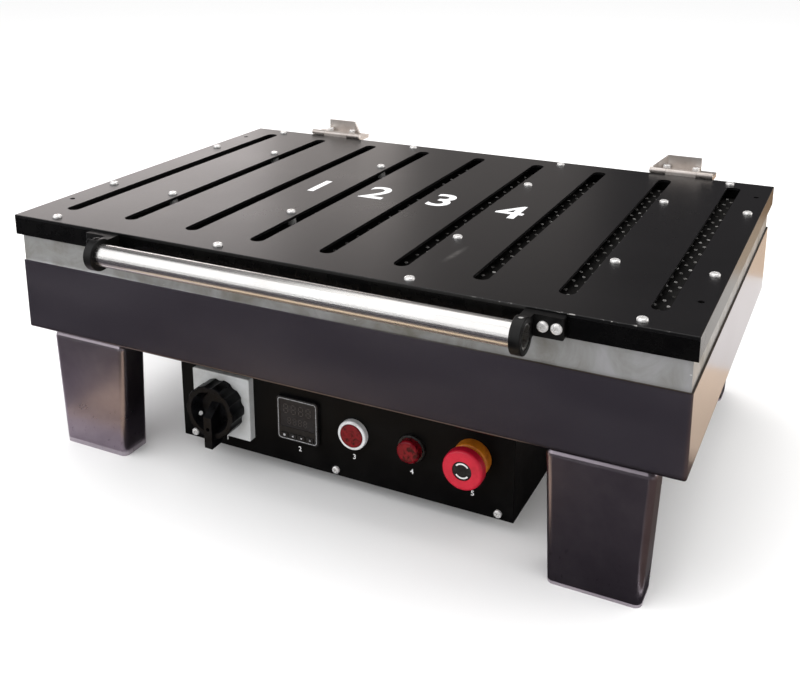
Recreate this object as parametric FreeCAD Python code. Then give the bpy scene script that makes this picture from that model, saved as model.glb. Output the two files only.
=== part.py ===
import FreeCAD
import Part
import math
import os

# Driving dimensions, in millimetres. X runs to the right, Y to the back, and Z up from the floor.

# Lid: a black plate on a frame of rails
lid_width = 700.0
lid_depth = 460.0
top_plate_thickness = 3.0
lid_rail_height = 18.0
lid_rail_width = 24.0
lid_edge_round = 0.6

# Slots in the lid, and the perforated baffle below them
slot_count = 9
slot_side_margin = 40.0
slot_front_margin = 38.0
slot_rear_margin = 25.0
slot_width = 15.0
baffle_thickness = 1.5
baffle_drop = 10.0
baffle_gap = 0.5
perforation_radius = 1.5
perforation_pitch = 12.0
perforation_columns = 3

# Screws of the lid
lid_screw_margin = 12.5
lid_screw_end_margin = 47.0
lid_screws_per_row = 4
lid_pattern_shift = 8.0
side_screw_offset = 100.0
inner_screw_offset = 104.0
inner_screw_from_slot = 17.5
inner_screw_slots = (1, 3)
pilot_hole_offset = 167.0
pilot_hole_radius = 2.9
button_shank_radius = 2.5
button_head_overhang = 2.3
button_head_height = 2.6
button_head_roundness = 0.75
button_socket_across = 3.0
button_socket_depth = 1.5
button_shank_length = 14.0
spacer_wall = 2.5
nut_wall = 1.5
nut_height = 4.0

# Case, band and seal
case_side_inset = 2.5
case_front_setback = 3.0
case_rear_overhang = 3.0
case_height = 77.0
case_corner_radius = 2.6
case_flange = 12.0
sheet = 1.5
band_height = 26.0
band_setback = 2.0
band_flange = 20.0
seal_setback = 5.0
seal_width = 9.0
seal_height = 2.4

# Legs
leg_height = 133.0
leg_top_width = 94.0
leg_bottom_width = 83.0
leg_depth = 37.0
leg_corner_radius = 6.5
leg_shoulder_radius = 10.0
leg_shoulder_steps = 6
leg_wall = 3.0
leg_side_setback = 71.75
leg_front_setback = 8.0
foot_plate_thickness = 3.0

# Hot plate, its heating elements and its stand-offs
plate_gap = 1.0
plate_thickness = 16.0
plate_below_rim = 8.0
plate_edge_chamfer = 1.0
element_count = 6
element_radius = 5.0
element_end_inset = 1.0
standoff_columns = 3
standoff_side_margin = 40.0
standoff_wall = 5.0
plate_screw_radius = 3.0
plate_screw_head_overhang = 3.0
plate_screw_head_height = 3.3
plate_screw_head_roundness = 0.1
plate_screw_socket_across = 4.0
plate_screw_socket_depth = 1.8

# Insulation, sensors and wire grommet
board_thickness = 30.0
strip_thickness = 24.0
strip_top_gap = 4.0
board_gap = 1.0
probe_x = 60.0
probe_radius = 2.0
probe_depth = 9.0
probe_collar_across = 8.0
probe_collar_height = 6.0
thermostat_x = -60.0
thermostat_radius = 8.0
thermostat_height = 10.0
thermostat_flange_length = 30.0
thermostat_flange_width = 12.0
thermostat_flange_thickness = 1.0
tag_width = 6.3
tag_length = 8.0
tag_thickness = 0.8
tag_spacing = 7.0
grommet_bore_radius = 9.0
grommet_hole_radius = 13.0
grommet_rim = 2.5
grommet_lip = 2.0

# Control box and its panel
panel_setback = 54.7
panel_thickness = 2.0
panel_edge_round = 0.6
box_height = 115.2
box_depth = 200.0
box_flange = 14.0
panel_screw_margin_x = 15.0
panel_screw_margin_z = 6.3
panel_screw_radius = 2.0
panel_screw_head_overhang = 2.0
panel_screw_head_height = 2.6
panel_screw_head_roundness = 0.6
panel_screw_length = 8.0
panel_screw_socket_across = 2.5
panel_screw_socket_depth = 1.4

# Row of controls on the panel, from left to right
control_rise = 51.8
switch_end_margin = 56.4
switch_to_controller = 89.6
control_pitch = 63.0
stop_end_margin = 41.0
stop_rise = 7.0

# Main switch
switch_plate_size = 70.0
switch_plate_thickness = 8.5
switch_plate_round = 2.0
switch_neck_radius = 12.0
switch_body_size = 48.0
switch_body_depth = 46.0
switch_shaft_radius = 5.0
switch_shaft_reach = 14.0
knob_radius = 29.0
knob_depth = 20.5
knob_seat_gap = 0.5
knob_dish_radius = 23.4
knob_dish_floor_radius = 17.2
knob_dish_depth = 12.0
knob_lobes = 10
knob_scallop_radius = 9.0
knob_scallop_bite = 1.8
knob_edge_round = 1.2
lever_width = 9.5
lever_drop = 39.0
lever_proud = 4.0
lever_back = 6.5
lever_slope_top = 7.0
lever_slope_foot = 4.0
lock_hole_radius = 2.2
lock_hole_drop = 17.0
lock_hole_depth = 14.0

# Temperature controller
controller_size = 48.0
controller_proud = 4.5
controller_corner_radius = 3.5
controller_edge_round = 0.8
controller_body_inset = 1.75
controller_body_depth = 75.0
window_width = 40.0
window_height = 29.0
window_top_margin = 4.0
window_recess = 1.2
window_thickness = 0.9
key_count = 4
key_width = 8.0
key_height = 5.0
key_pitch = 10.0
key_bottom_margin = 3.6
key_depth = 4.0
key_proud = 0.9
key_travel = 0.6
key_edge_round = 0.4

# Push button, lamp and emergency stop: each has a threaded barrel through the panel and a lock nut
barrel_radius = 11.0
barrel_length = 14.0
barrel_wall = 2.0
lock_nut_wall = 3.0
lock_nut_height = 4.0
contact_width = 28.0
contact_height = 40.0
contact_depth = 26.0
contact_room_depth = 13.0
cap_radius = 12.2
cap_thickness = 3.0
cap_proud = 1.0
cap_edge_round = 0.9
cap_stem_radius = 5.0
cap_stem_length = 14.0
ring_wall = 3.0
ring_height = 6.0
ring_edge_round = 1.6
ring_floor = 0.6
lens_radius = 12.0
lens_proud = 11.0
lens_edge_round = 3.0
lens_stem_length = 6.0
lamp_ring_wall = 2.1
lamp_ring_height = 3.0
lamp_ring_round = 1.0
collar_radius = 18.2
collar_height = 12.0
collar_edge_round = 2.0
stop_head_radius = 20.0
stop_head_front = 28.0
stop_head_thickness = 9.5
stop_head_round = 3.0
stop_dish_radius = 9.6
stop_dish_depth = 1.0
plunger_radius = 6.0
plunger_tail = 8.0
plunger_tip_radius = 4.0
plunger_tip_length = 6.0

# Relay, heat sink, terminal block and gland of the control box
inner_row_setback = 105.0
sink_x = -90.0
sink_width = 90.0
sink_depth = 100.0
sink_base = 5.0
sink_fin_height = 20.0
sink_fin_count = 9
sink_fin_thickness = 2.0
relay_width = 45.0
relay_depth = 58.0
relay_height = 25.0
relay_notch_radius = 2.5
terminal_x = 40.0
terminal_width = 90.0
terminal_depth = 30.0
terminal_height = 34.0
terminal_ways = 6
terminal_well_radius = 3.0
terminal_well_depth = 6.0
gland_x = 130.0
gland_rise = 37.6
gland_bore_radius = 5.0
gland_thread_radius = 10.0
gland_thread_length = 8.0
gland_hex_across = 24.0
gland_hex_height = 7.0
gland_cap_radius = 11.0
gland_cap_length = 14.0
gland_cap_round = 3.0

# Handle
tube_radius = 11.0
tube_wall = 2.0
tube_end_inset = 0.8
finger_gap = 14.0
handle_drop = 15.0
handle_end_margin = 103.75
clamp_wall = 5.0
clamp_width = 10.0
clamp_edge_round = 1.0
flange_length = 25.25
flange_thickness = 8.0
flange_height = 19.0
flange_top_drop = 2.0
flange_edge_round = 1.2
flange_screw_start = 7.75
flange_screw_pitch = 11.5
flange_screw_length = 16.0
set_screw_radius = 2.5
set_screw_sunk = 1.0
set_screw_socket_across = 2.5
set_screw_socket_depth = 2.0

# Hinges and lid rests at the rear
hinge_side_margin = 114.5
hinge_shift = 8.5
hinge_width = 74.0
hinge_rise = 3.0
hinge_reach = 30.0
knuckle_radius = 3.5
knuckle_lid_gap = 0.2
pin_radius = 2.0
leaf_thickness = 2.0
lid_knuckle_length = 36.0
lid_leaf_clear = 2.0
carrier_thickness = 3.0
carrier_drop = 52.0
rest_sheet = 2.0
rest_wall_width = 40.0
rest_wall_back = 24.0
rest_knuckle_gap = 2.3
rest_splay = 15.0
rest_rise = 18.5
rest_toe_rise = 3.0
rest_screw_spacing = 34.5
rest_screw_shift = 1.9
rest_screw_back = 15.0
cap_screw_radius = 2.5
cap_screw_head_overhang = 1.8
cap_screw_head_height = 4.6
cap_screw_head_roundness = 0.15
cap_screw_socket_across = 4.0
cap_screw_socket_depth = 2.2
cap_screw_tail = 3.0
carrier_screw_spacing_x = 56.0
carrier_screw_spacing_z = 26.0
carrier_screw_margin = 12.0
carrier_screw_tail = 0.5

# Clearances
running_gap = 0.3
shaft_gap = 0.05
screw_gap = 0.1

# Places of the lid, worked out from the sizes above
handle_out = finger_gap + tube_radius
clamp_radius = tube_radius + clamp_wall
handle_reach = handle_out + clamp_radius
total_depth = handle_reach + lid_depth + hinge_reach
lid_front = handle_reach - total_depth / 2
lid_rear = lid_front + lid_depth
lid_middle = (lid_front + lid_rear) / 2
lid_half = lid_width / 2
case_top = leg_height + case_height
case_floor = leg_height + sheet
band_top = case_top + band_height
rail_bottom = band_top + seal_height
rail_top = rail_bottom + lid_rail_height
lid_top = rail_top + top_plate_thickness
baffle_top = rail_top - baffle_drop
baffle_bottom = baffle_top - baffle_thickness
slot_start = lid_front + slot_front_margin
slot_end = lid_rear - slot_rear_margin
slot_pitch = (lid_width - 2 * slot_side_margin) / (slot_count - 1)
slot_places = [slot_side_margin - lid_half + index * slot_pitch for index in range(slot_count)]
screw_pitch = (lid_width - 2 * lid_screw_end_margin) / (lid_screws_per_row - 1)
screw_row = [lid_screw_end_margin - lid_half + index * screw_pitch for index in range(lid_screws_per_row)]
screw_side = lid_half - lid_screw_margin
pattern_middle = lid_middle + lid_pattern_shift
corners = [(-1, -1), (1, -1), (-1, 1), (1, 1)]
edge_screw_places = [(x, lid_front + lid_screw_margin) for x in screw_row]
edge_screw_places += [(x, lid_rear - lid_screw_margin) for x in screw_row]
edge_screw_places += [(sx * screw_side, pattern_middle + sy * side_screw_offset) for sx, sy in corners]
inner_screw_places = []
for slots_out in inner_screw_slots:
    inner_x = slots_out * slot_pitch + inner_screw_from_slot
    inner_screw_places += [(sx * inner_x, pattern_middle + sy * inner_screw_offset) for sx, sy in corners]
pilot_places = [(sx * screw_side, pattern_middle + sy * pilot_hole_offset) for sx, sy in corners]

# Places of the case and what stands in it
case_half = lid_half - case_side_inset
case_front = lid_front + case_front_setback
case_rear = lid_rear + case_rear_overhang
case_middle = (case_front + case_rear) / 2
board_half = case_half - sheet - board_gap
board_front = case_front + sheet + board_gap
board_rear = case_rear - sheet - board_gap
plate_half = board_half - strip_thickness - plate_gap
plate_front = board_front + strip_thickness + plate_gap
plate_rear = board_rear - strip_thickness - plate_gap
plate_top = case_top - plate_below_rim
plate_bottom = plate_top - plate_thickness
element_z = (plate_bottom + plate_top) / 2
element_pitch = (plate_rear - plate_front) / element_count
element_places = [plate_front + (index + 0.5) * element_pitch for index in range(element_count)]
standoff_radius = plate_screw_radius + standoff_wall
standoff_pitch = 2 * (plate_half - standoff_side_margin) / (standoff_columns - 1)
standoff_row = [standoff_side_margin - plate_half + index * standoff_pitch for index in range(standoff_columns)]
standoff_places = [(x, plate_front + element_pitch) for x in standoff_row]
standoff_places += [(x, plate_rear - element_pitch) for x in standoff_row]
leg_x = case_half - leg_side_setback
leg_front = case_front + leg_front_setback + leg_depth / 2
leg_rear = case_rear - leg_front_setback - leg_depth / 2
leg_places = {
    "front_left_leg": (-leg_x, leg_front),
    "front_right_leg": (leg_x, leg_front),
    "rear_left_leg": (-leg_x, leg_rear),
    "rear_right_leg": (leg_x, leg_rear),
}

# Places of the control box and the controls
box_width = switch_end_margin + switch_to_controller + 3 * control_pitch + stop_end_margin
box_half = box_width / 2
box_top = leg_height
box_bottom = box_top - box_height
box_floor = box_bottom + sheet
panel_front = lid_front + panel_setback
panel_back = panel_front + panel_thickness
box_rear = panel_back + box_depth
inner_row = panel_back + inner_row_setback
switch_x = switch_end_margin - box_half
controller_x = switch_x + switch_to_controller
button_x = controller_x + control_pitch
lamp_x = button_x + control_pitch
stop_x = lamp_x + control_pitch
control_z = box_bottom + control_rise
stop_z = control_z + stop_rise
barrel_places = [(button_x, control_z), (lamp_x, control_z), (stop_x, stop_z)]
panel_screw_x = box_half - panel_screw_margin_x
panel_screw_heights = (box_bottom + panel_screw_margin_z, box_top - panel_screw_margin_z)
panel_screw_places = [(x, z) for x in (-panel_screw_x, 0, panel_screw_x) for z in panel_screw_heights]
switch_plate_front = panel_front - switch_plate_thickness
controller_front = panel_front - controller_proud
controller_body_size = controller_size - 2 * controller_body_inset
window_z = control_z + controller_size / 2 - window_top_margin - window_height / 2
key_z = control_z - controller_size / 2 + key_bottom_margin + key_height / 2
key_places = [controller_x + (index - (key_count - 1) / 2) * key_pitch for index in range(key_count)]

# Places of the handle and the hinges
handle_y = lid_front - handle_out
handle_z = lid_top - handle_drop
flange_top = lid_top - flange_top_drop
flange_screw_z = flange_top - flange_height / 2
bracket_sides = {"left": -1, "right": 1}
bracket_tip = lid_half - handle_end_margin
clamp_end = bracket_tip - flange_length
clamp_start = clamp_end - clamp_width
clamp_middle = (clamp_start + clamp_end) / 2
flange_screw_row = [clamp_end + flange_screw_start + index * flange_screw_pitch for index in range(2)]
hinge_reach_x = lid_half - hinge_side_margin
hinge_places = [hinge_shift - hinge_reach_x, hinge_shift + hinge_reach_x]
hinge_y = lid_rear + knuckle_lid_gap + knuckle_radius
hinge_z = lid_top + hinge_rise
shelf_top = hinge_z - knuckle_radius
leaf_top = shelf_top + leaf_thickness
rest_floor = leaf_top + rest_sheet
shelf_rear = lid_rear + hinge_reach

x_axis = FreeCAD.Vector(1, 0, 0)
y_axis = FreeCAD.Vector(0, 1, 0)
z_axis = FreeCAD.Vector(0, 0, 1)
to_front = FreeCAD.Vector(0, -1, 0)
overcut = 1.0
tolerance = 1e-6


def block(x0, x1, y0, y1, z0, z1):
    """A box between two corners."""
    return Part.makeBox(x1 - x0, y1 - y0, z1 - z0, FreeCAD.Vector(x0, y0, z0))


def standing(x, y, z, width, depth, height):
    """A box centred on X and Y that stands at a height."""
    return block(x - width / 2, x + width / 2, y - depth / 2, y + depth / 2, z, z + height)


def facing(x, z, width, height, y0, y1):
    """A box centred on X and Z that runs from front to back."""
    return block(x - width / 2, x + width / 2, y0, y1, z - height / 2, z + height / 2)


def rod(x, y, z, axis, radius, length):
    """A round bar that starts at a point and runs along an axis."""
    return Part.makeCylinder(radius, length, FreeCAD.Vector(x, y, z), axis)


def drill(x, y, z, axis, radius, depth):
    """A cutter for a round hole, which also runs a little past both ends."""
    start = FreeCAD.Vector(x, y, z) - axis * overcut
    return Part.makeCylinder(radius, depth + 2 * overcut, start, axis)


def turned(profile):
    """A solid of revolution about Z from points of (radius, height)."""
    points = [FreeCAD.Vector(radius, 0, height) for radius, height in profile]
    face = Part.Face(Part.makePolygon(points + points[:1]))
    return face.revolve(FreeCAD.Vector(0, 0, 0), z_axis, 360)


def hexagon(across, height):
    """A hexagonal prism that stands on the XY plane, centred on Z."""
    corner = across / math.sqrt(3)
    angles = [math.radians(60 * side) for side in range(6)]
    points = [FreeCAD.Vector(corner * math.cos(angle), corner * math.sin(angle), 0) for angle in angles]
    return Part.Face(Part.makePolygon(points + points[:1])).extrude(z_axis * height)


def placed(shape, x, y, z, axis=z_axis):
    """A copy of a shape made about Z, moved to a point with its Z along the axis."""
    copy = shape.copy()
    copy.Placement = FreeCAD.Placement(FreeCAD.Vector(x, y, z), FreeCAD.Rotation(z_axis, axis))
    return copy


def joined(shape, others):
    """One solid from a shape and what is welded or moulded to it."""
    return shape.fuse(others).removeSplitter()


def lines_along(shape, axis):
    """The straight edges of a shape that run along an axis."""
    lines = [edge for edge in shape.Edges if isinstance(edge.Curve, Part.Line)]
    found = []
    for line in lines:
        direction = line.tangentAt(line.FirstParameter)
        if abs(abs(direction.dot(axis)) - 1) < tolerance:
            found.append(line)
    return found


def edges_at(shape, axis, place):
    """The edges of a shape that lie in the plane at a place along an axis."""
    found = []
    for edge in shape.Edges:
        if all(abs(vertex.Point.dot(axis) - place) < tolerance for vertex in edge.Vertexes):
            found.append(edge)
    return found


def rounded_rim(shape, axis, place, radius):
    """A shape with the edges in one plane rounded."""
    return shape.makeFillet(radius, edges_at(shape, axis, place))


def rounded_outline(width, height, radius, level=0.0):
    """A closed wire at a level: a rectangle with round corners, centred on Z."""
    arcs = []
    for sign_x, sign_y, start in ((1, 1, 0), (-1, 1, 90), (-1, -1, 180), (1, -1, 270)):
        centre = FreeCAD.Vector(sign_x * (width / 2 - radius), sign_y * (height / 2 - radius), level)
        arcs.append(Part.makeCircle(radius, centre, z_axis, start, start + 90))
    edges = []
    for arc, following in zip(arcs, arcs[1:] + arcs[:1]):
        edges.append(arc)
        edges.append(Part.LineSegment(arc.Vertexes[-1].Point, following.Vertexes[0].Point).toShape())
    return Part.Wire(edges)


def slab(width, height, thickness, radius):
    """A plate with round corners that stands on the XY plane, centred on Z."""
    return Part.Face(rounded_outline(width, height, radius)).extrude(z_axis * thickness)


def socket_screw(radius, length, head_overhang, head_height, roundness, socket_across, socket_depth):
    """A hexagon-socket screw: the head stands on the XY plane and the shank hangs below it."""
    head = rod(0, 0, 0, z_axis, radius + head_overhang, head_height)
    head = rounded_rim(head, z_axis, head_height, head_height * roundness)
    socket = placed(hexagon(socket_across, socket_depth + overcut), 0, 0, head_height - socket_depth)
    return joined(head.cut(socket), rod(0, 0, -length, z_axis, radius, length))


def button_screw(length):
    """One button-head screw of the lid or the handle."""
    return socket_screw(
        button_shank_radius,
        length,
        button_head_overhang,
        button_head_height,
        button_head_roundness,
        button_socket_across,
        button_socket_depth,
    )


def cap_screw(length):
    """One cap-head screw of the hinges."""
    return socket_screw(
        cap_screw_radius,
        length,
        cap_screw_head_overhang,
        cap_screw_head_height,
        cap_screw_head_roundness,
        cap_screw_socket_across,
        cap_screw_socket_depth,
    )


def make_case():
    """The folded stainless tray: floor, four walls, and a flange turned in at the rim."""
    outer = block(-case_half, case_half, case_front, case_rear, leg_height, case_top)
    folds = lines_along(outer, z_axis) + edges_at(outer, z_axis, leg_height)
    outer = outer.makeFillet(case_corner_radius, folds)
    wall = case_half - sheet
    inner = block(-wall, wall, case_front + sheet, case_rear - sheet, case_floor, case_top - sheet)
    folds = lines_along(inner, z_axis) + edges_at(inner, z_axis, case_floor)
    inner = inner.makeFillet(case_corner_radius - sheet, folds)
    lip = case_half - case_flange
    mouth = block(-lip, lip, case_front + case_flange, case_rear - case_flange, plate_top, case_top + overcut)
    tools = [inner, mouth, drill(0, inner_row, leg_height, z_axis, grommet_hole_radius, sheet)]
    for hinge_x in hinge_places:
        for x, z in carrier_screw_places(hinge_x):
            tools.append(drill(x, case_rear - sheet, z, y_axis, cap_screw_radius + screw_gap, sheet))
    return outer.cut(tools)


def make_leg(x, y):
    """A folded sheet leg, a little wider at the top, with a rounded shoulder and an open foot."""
    shoulder = leg_height - leg_shoulder_radius
    sections = [rounded_outline(leg_bottom_width, leg_depth, leg_corner_radius)]
    for step in range(leg_shoulder_steps + 1):
        angle = math.radians(90 * step / leg_shoulder_steps)
        inset = 2 * leg_shoulder_radius * (1 - math.cos(angle))
        corner = leg_corner_radius * (leg_depth - inset) / leg_depth
        level = shoulder + leg_shoulder_radius * math.sin(angle)
        sections.append(rounded_outline(leg_top_width - inset, leg_depth - inset, corner, level))
    outer = Part.makeLoft(sections, True, True)
    walls = 2 * leg_wall
    corner = leg_corner_radius - leg_wall
    foot = rounded_outline(leg_bottom_width - walls, leg_depth - walls, corner, -overcut)
    ceiling = rounded_outline(leg_top_width - walls, leg_depth - walls, corner, shoulder)
    return placed(outer.cut(Part.makeLoft([foot, ceiling], True, True)), x, y, 0)


def make_foot_plates():
    """The plates that close the feet of the legs."""
    inset = 2 * (leg_wall + screw_gap)
    corner = leg_corner_radius - leg_wall
    plate = slab(leg_bottom_width - inset, leg_depth - inset, foot_plate_thickness, corner)
    return Part.makeCompound([placed(plate, x, y, 0) for x, y in leg_places.values()])


def make_band():
    """The galvanised frame on the case rim, with a flange turned in at its top for the seal."""
    half = case_half - band_setback
    front = case_front + band_setback
    rear = case_rear - band_setback
    wall = half - sheet
    lip = half - band_flange
    outer = block(-half, half, front, rear, case_top, band_top)
    inner = block(-wall, wall, front + sheet, rear - sheet, case_top - overcut, band_top - sheet)
    mouth = block(-lip, lip, front + band_flange, rear - band_flange, case_top, band_top + overcut)
    return outer.cut([inner, mouth])


def make_seal():
    """The dark seal that the lid frame closes on."""
    setback = band_setback + seal_setback
    half = case_half - setback
    front = case_front + setback
    rear = case_rear - setback
    hole = half - seal_width
    outer = block(-half, half, front, rear, band_top, rail_bottom)
    inner = block(-hole, hole, front + seal_width, rear - seal_width, case_top, lid_top)
    return outer.cut(inner)


def make_insulation():
    """Fibre boards: one on the case floor with holes for what passes through it, and four strips on it."""
    board_top = case_floor + board_thickness
    strip_top = case_top - strip_top_gap
    board = block(-board_half, board_half, board_front, board_rear, case_floor, board_top)
    folds = lines_along(board, z_axis) + edges_at(board, z_axis, case_floor)
    board = board.makeFillet(case_corner_radius, folds)
    holes = [(x, y, standoff_radius) for x, y in standoff_places]
    holes.append((0, inner_row, grommet_hole_radius + grommet_rim))
    holes.append((thermostat_x, case_middle, thermostat_radius))
    holes.append((probe_x, case_middle, probe_collar_across))
    board = board.cut([drill(x, y, case_floor, z_axis, r + board_gap, board_thickness) for x, y, r in holes])
    pieces = [board]
    inner_front = board_front + strip_thickness
    inner_rear = board_rear - strip_thickness
    for y0, y1, outside in ((board_front, inner_front, board_front), (inner_rear, board_rear, board_rear)):
        strip = block(-board_half, board_half, y0, y1, board_top, strip_top)
        ends = [edge for edge in lines_along(strip, z_axis) if abs(edge.CenterOfMass.y - outside) < tolerance]
        pieces.append(strip.makeFillet(case_corner_radius, ends))
    inner_half = board_half - strip_thickness
    for x0, x1 in ((-board_half, -inner_half), (inner_half, board_half)):
        pieces.append(block(x0, x1, inner_front, inner_rear, board_top, strip_top))
    return Part.makeCompound(pieces)


def make_hot_plate():
    """The aluminium hot plate: bored across for the heating elements, with recesses for its screws."""
    plate = block(-plate_half, plate_half, plate_front, plate_rear, plate_bottom, plate_top)
    plate = plate.makeChamfer(plate_edge_chamfer, edges_at(plate, z_axis, plate_top))
    bore = element_radius + screw_gap
    tools = [drill(-plate_half, y, element_z, x_axis, bore, 2 * plate_half) for y in element_places]
    recess = plate_screw_radius + plate_screw_head_overhang + screw_gap
    seat = plate_top - plate_screw_head_height
    for x, y in standoff_places:
        tools.append(drill(x, y, plate_bottom, z_axis, plate_screw_radius + screw_gap, plate_thickness))
        tools.append(rod(x, y, seat, z_axis, recess, plate_screw_head_height + overcut))
    probe_hole = probe_radius + screw_gap
    tools.append(rod(probe_x, case_middle, plate_bottom, z_axis, probe_hole, probe_depth + screw_gap))
    return plate.cut(tools)


def make_elements():
    """The heating elements in the bores of the hot plate."""
    start = element_end_inset - plate_half
    length = -2 * start
    return Part.makeCompound([rod(start, y, element_z, x_axis, element_radius, length) for y in element_places])


def make_standoffs():
    """The ceramic stand-offs that carry the hot plate above the case floor."""
    height = plate_bottom - case_floor
    one = rod(0, 0, 0, z_axis, standoff_radius, height)
    one = one.cut(drill(0, 0, 0, z_axis, plate_screw_radius + screw_gap, height))
    return Part.makeCompound([placed(one, x, y, case_floor) for x, y in standoff_places])


def make_plate_screws():
    """The flat-head screws that pass through the hot plate and its stand-offs."""
    seat = plate_top - plate_screw_head_height
    one = socket_screw(
        plate_screw_radius,
        seat - case_floor,
        plate_screw_head_overhang,
        plate_screw_head_height,
        plate_screw_head_roundness,
        plate_screw_socket_across,
        plate_screw_socket_depth,
    )
    return Part.makeCompound([placed(one, x, y, seat) for x, y in standoff_places])


def make_thermocouple():
    """The probe in the underside of the hot plate, with its hexagon collar."""
    low = plate_bottom - probe_collar_height
    collar = placed(hexagon(probe_collar_across, probe_collar_height), probe_x, case_middle, low)
    length = probe_collar_height + probe_depth
    return joined(collar, rod(probe_x, case_middle, low, z_axis, probe_radius, length))


def make_thermostat():
    """The over-temperature cut-out under the hot plate: round body, flange and two tags."""
    low = plate_bottom - thermostat_height
    body = rod(thermostat_x, case_middle, low, z_axis, thermostat_radius, thermostat_height)
    flange_low = plate_bottom - thermostat_flange_thickness
    length = thermostat_flange_length
    width = thermostat_flange_width
    pieces = [standing(thermostat_x, case_middle, flange_low, length, width, thermostat_flange_thickness)]
    for side in (-1, 1):
        x = thermostat_x + side * tag_spacing / 2
        pieces.append(standing(x, case_middle, low - tag_length, tag_thickness, tag_width, tag_length))
    return joined(body, pieces)


def make_grommet():
    """The rubber ring in the case floor where the wires come up from the control box."""
    lip_radius = grommet_hole_radius + grommet_rim
    low = leg_height - grommet_lip
    high = case_floor + grommet_lip
    profile = [
        (grommet_bore_radius, low),
        (lip_radius, low),
        (lip_radius, leg_height),
        (grommet_hole_radius, leg_height),
        (grommet_hole_radius, case_floor),
        (lip_radius, case_floor),
        (lip_radius, high),
        (grommet_bore_radius, high),
    ]
    return placed(turned(profile), 0, inner_row, 0)


def make_control_box():
    """The sheet box under the case, with flanges turned in at its open front and top."""
    outer = block(-box_half, box_half, panel_back, box_rear, box_bottom, box_top)
    wall = box_half - sheet
    lip = box_half - box_flange
    low = box_bottom + box_flange
    high = box_top - box_flange
    room = block(-wall, wall, panel_back + sheet, box_rear - sheet, box_floor, box_top - sheet)
    front_mouth = block(-lip, lip, panel_front, inner_row, low, high)
    top_mouth = block(-lip, lip, panel_back + box_flange, box_rear - box_flange, high, case_floor)
    tools = [room, front_mouth, top_mouth]
    gland_z = box_bottom + gland_rise
    tools.append(drill(gland_x, box_rear - sheet, gland_z, y_axis, gland_thread_radius + screw_gap, sheet))
    for x, z in panel_screw_places:
        tools.append(drill(x, panel_back, z, y_axis, panel_screw_radius + screw_gap, sheet))
    return outer.cut(tools)


def make_panel():
    """The black front panel with the cut-outs for the controls."""
    panel = block(-box_half, box_half, panel_front, panel_back, box_bottom, box_top)
    panel = rounded_rim(panel, y_axis, panel_front, panel_edge_round)
    holes = [(switch_x, control_z, switch_neck_radius)]
    holes += [(x, z, barrel_radius) for x, z in barrel_places]
    holes += [(x, z, panel_screw_radius) for x, z in panel_screw_places]
    tools = [drill(x, panel_front, z, y_axis, radius + screw_gap, panel_thickness) for x, z, radius in holes]
    opening = controller_body_size + 2 * screw_gap
    tools.append(facing(controller_x, control_z, opening, opening, panel_front - overcut, panel_back + overcut))
    return panel.cut(tools)


def make_panel_screws():
    """The screws that hold the panel to the box."""
    one = socket_screw(
        panel_screw_radius,
        panel_screw_length,
        panel_screw_head_overhang,
        panel_screw_head_height,
        panel_screw_head_roundness,
        panel_screw_socket_across,
        panel_screw_socket_depth,
    )
    return Part.makeCompound([placed(one, x, panel_front, z, to_front) for x, z in panel_screw_places])


def make_switch_plate():
    """The grey square plate of the main switch, bored as the bearing of the knob's shaft."""
    plate = slab(switch_plate_size, switch_plate_size, switch_plate_thickness, switch_plate_round)
    plate = rounded_rim(plate, z_axis, switch_plate_thickness, switch_plate_round / 2)
    plate = plate.cut(drill(0, 0, 0, z_axis, switch_shaft_radius + shaft_gap, switch_plate_thickness))
    return placed(plate, switch_x, panel_front, control_z, to_front)


def make_switch_body():
    """The switch block behind the panel, with its neck through the panel."""
    back = panel_back + switch_body_depth
    body = facing(switch_x, control_z, switch_body_size, switch_body_size, panel_back, back)
    neck = rod(switch_x, panel_front, control_z, y_axis, switch_neck_radius, panel_thickness)
    room = switch_shaft_reach - switch_plate_thickness + running_gap
    hole = rod(switch_x, panel_front, control_z, y_axis, switch_shaft_radius + running_gap, room)
    return joined(body, neck).cut(hole)


def make_knob():
    """The scalloped knob of the main switch: dished front, lever bar with a lock hole, and shaft."""
    disc = rounded_rim(rod(0, 0, 0, z_axis, knob_radius, knob_depth), z_axis, knob_depth, knob_edge_round)
    ring = knob_radius + knob_scallop_radius - knob_scallop_bite
    tools = []
    for lobe in range(knob_lobes):
        angle = math.radians(360 * (lobe + 0.5) / knob_lobes)
        x = ring * math.cos(angle)
        y = ring * math.sin(angle)
        tools.append(drill(x, y, 0, z_axis, knob_scallop_radius, knob_depth))
    floor = knob_depth - knob_dish_depth
    above = knob_depth + overcut
    tools.append(turned([(0, floor), (knob_dish_floor_radius, floor), (knob_dish_radius, above), (0, above)]))
    front = knob_depth + lever_proud
    side = [
        (lever_slope_top, floor),
        (-lever_slope_foot, front),
        (-lever_drop, front),
        (-lever_drop, lever_back),
        (lever_slope_top, lever_back),
    ]
    points = [FreeCAD.Vector(-lever_width / 2, rise, out) for rise, out in side]
    lever = Part.Face(Part.makePolygon(points + points[:1])).extrude(x_axis * lever_width)
    lever = rounded_rim(lever, y_axis, -lever_drop, knob_edge_round)
    shaft_length = switch_shaft_reach + knob_seat_gap
    shaft = rod(0, 0, -shaft_length, z_axis, switch_shaft_radius, shaft_length)
    lock_hole = rod(0, -lock_hole_drop, front - lock_hole_depth, z_axis, lock_hole_radius, front)
    knob = joined(disc.cut(tools), [lever, shaft]).cut(lock_hole)
    knob.rotate(FreeCAD.Vector(0, 0, 0), x_axis, 90)
    knob.translate(FreeCAD.Vector(switch_x, switch_plate_front - knob_seat_gap, control_z))
    return knob


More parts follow.
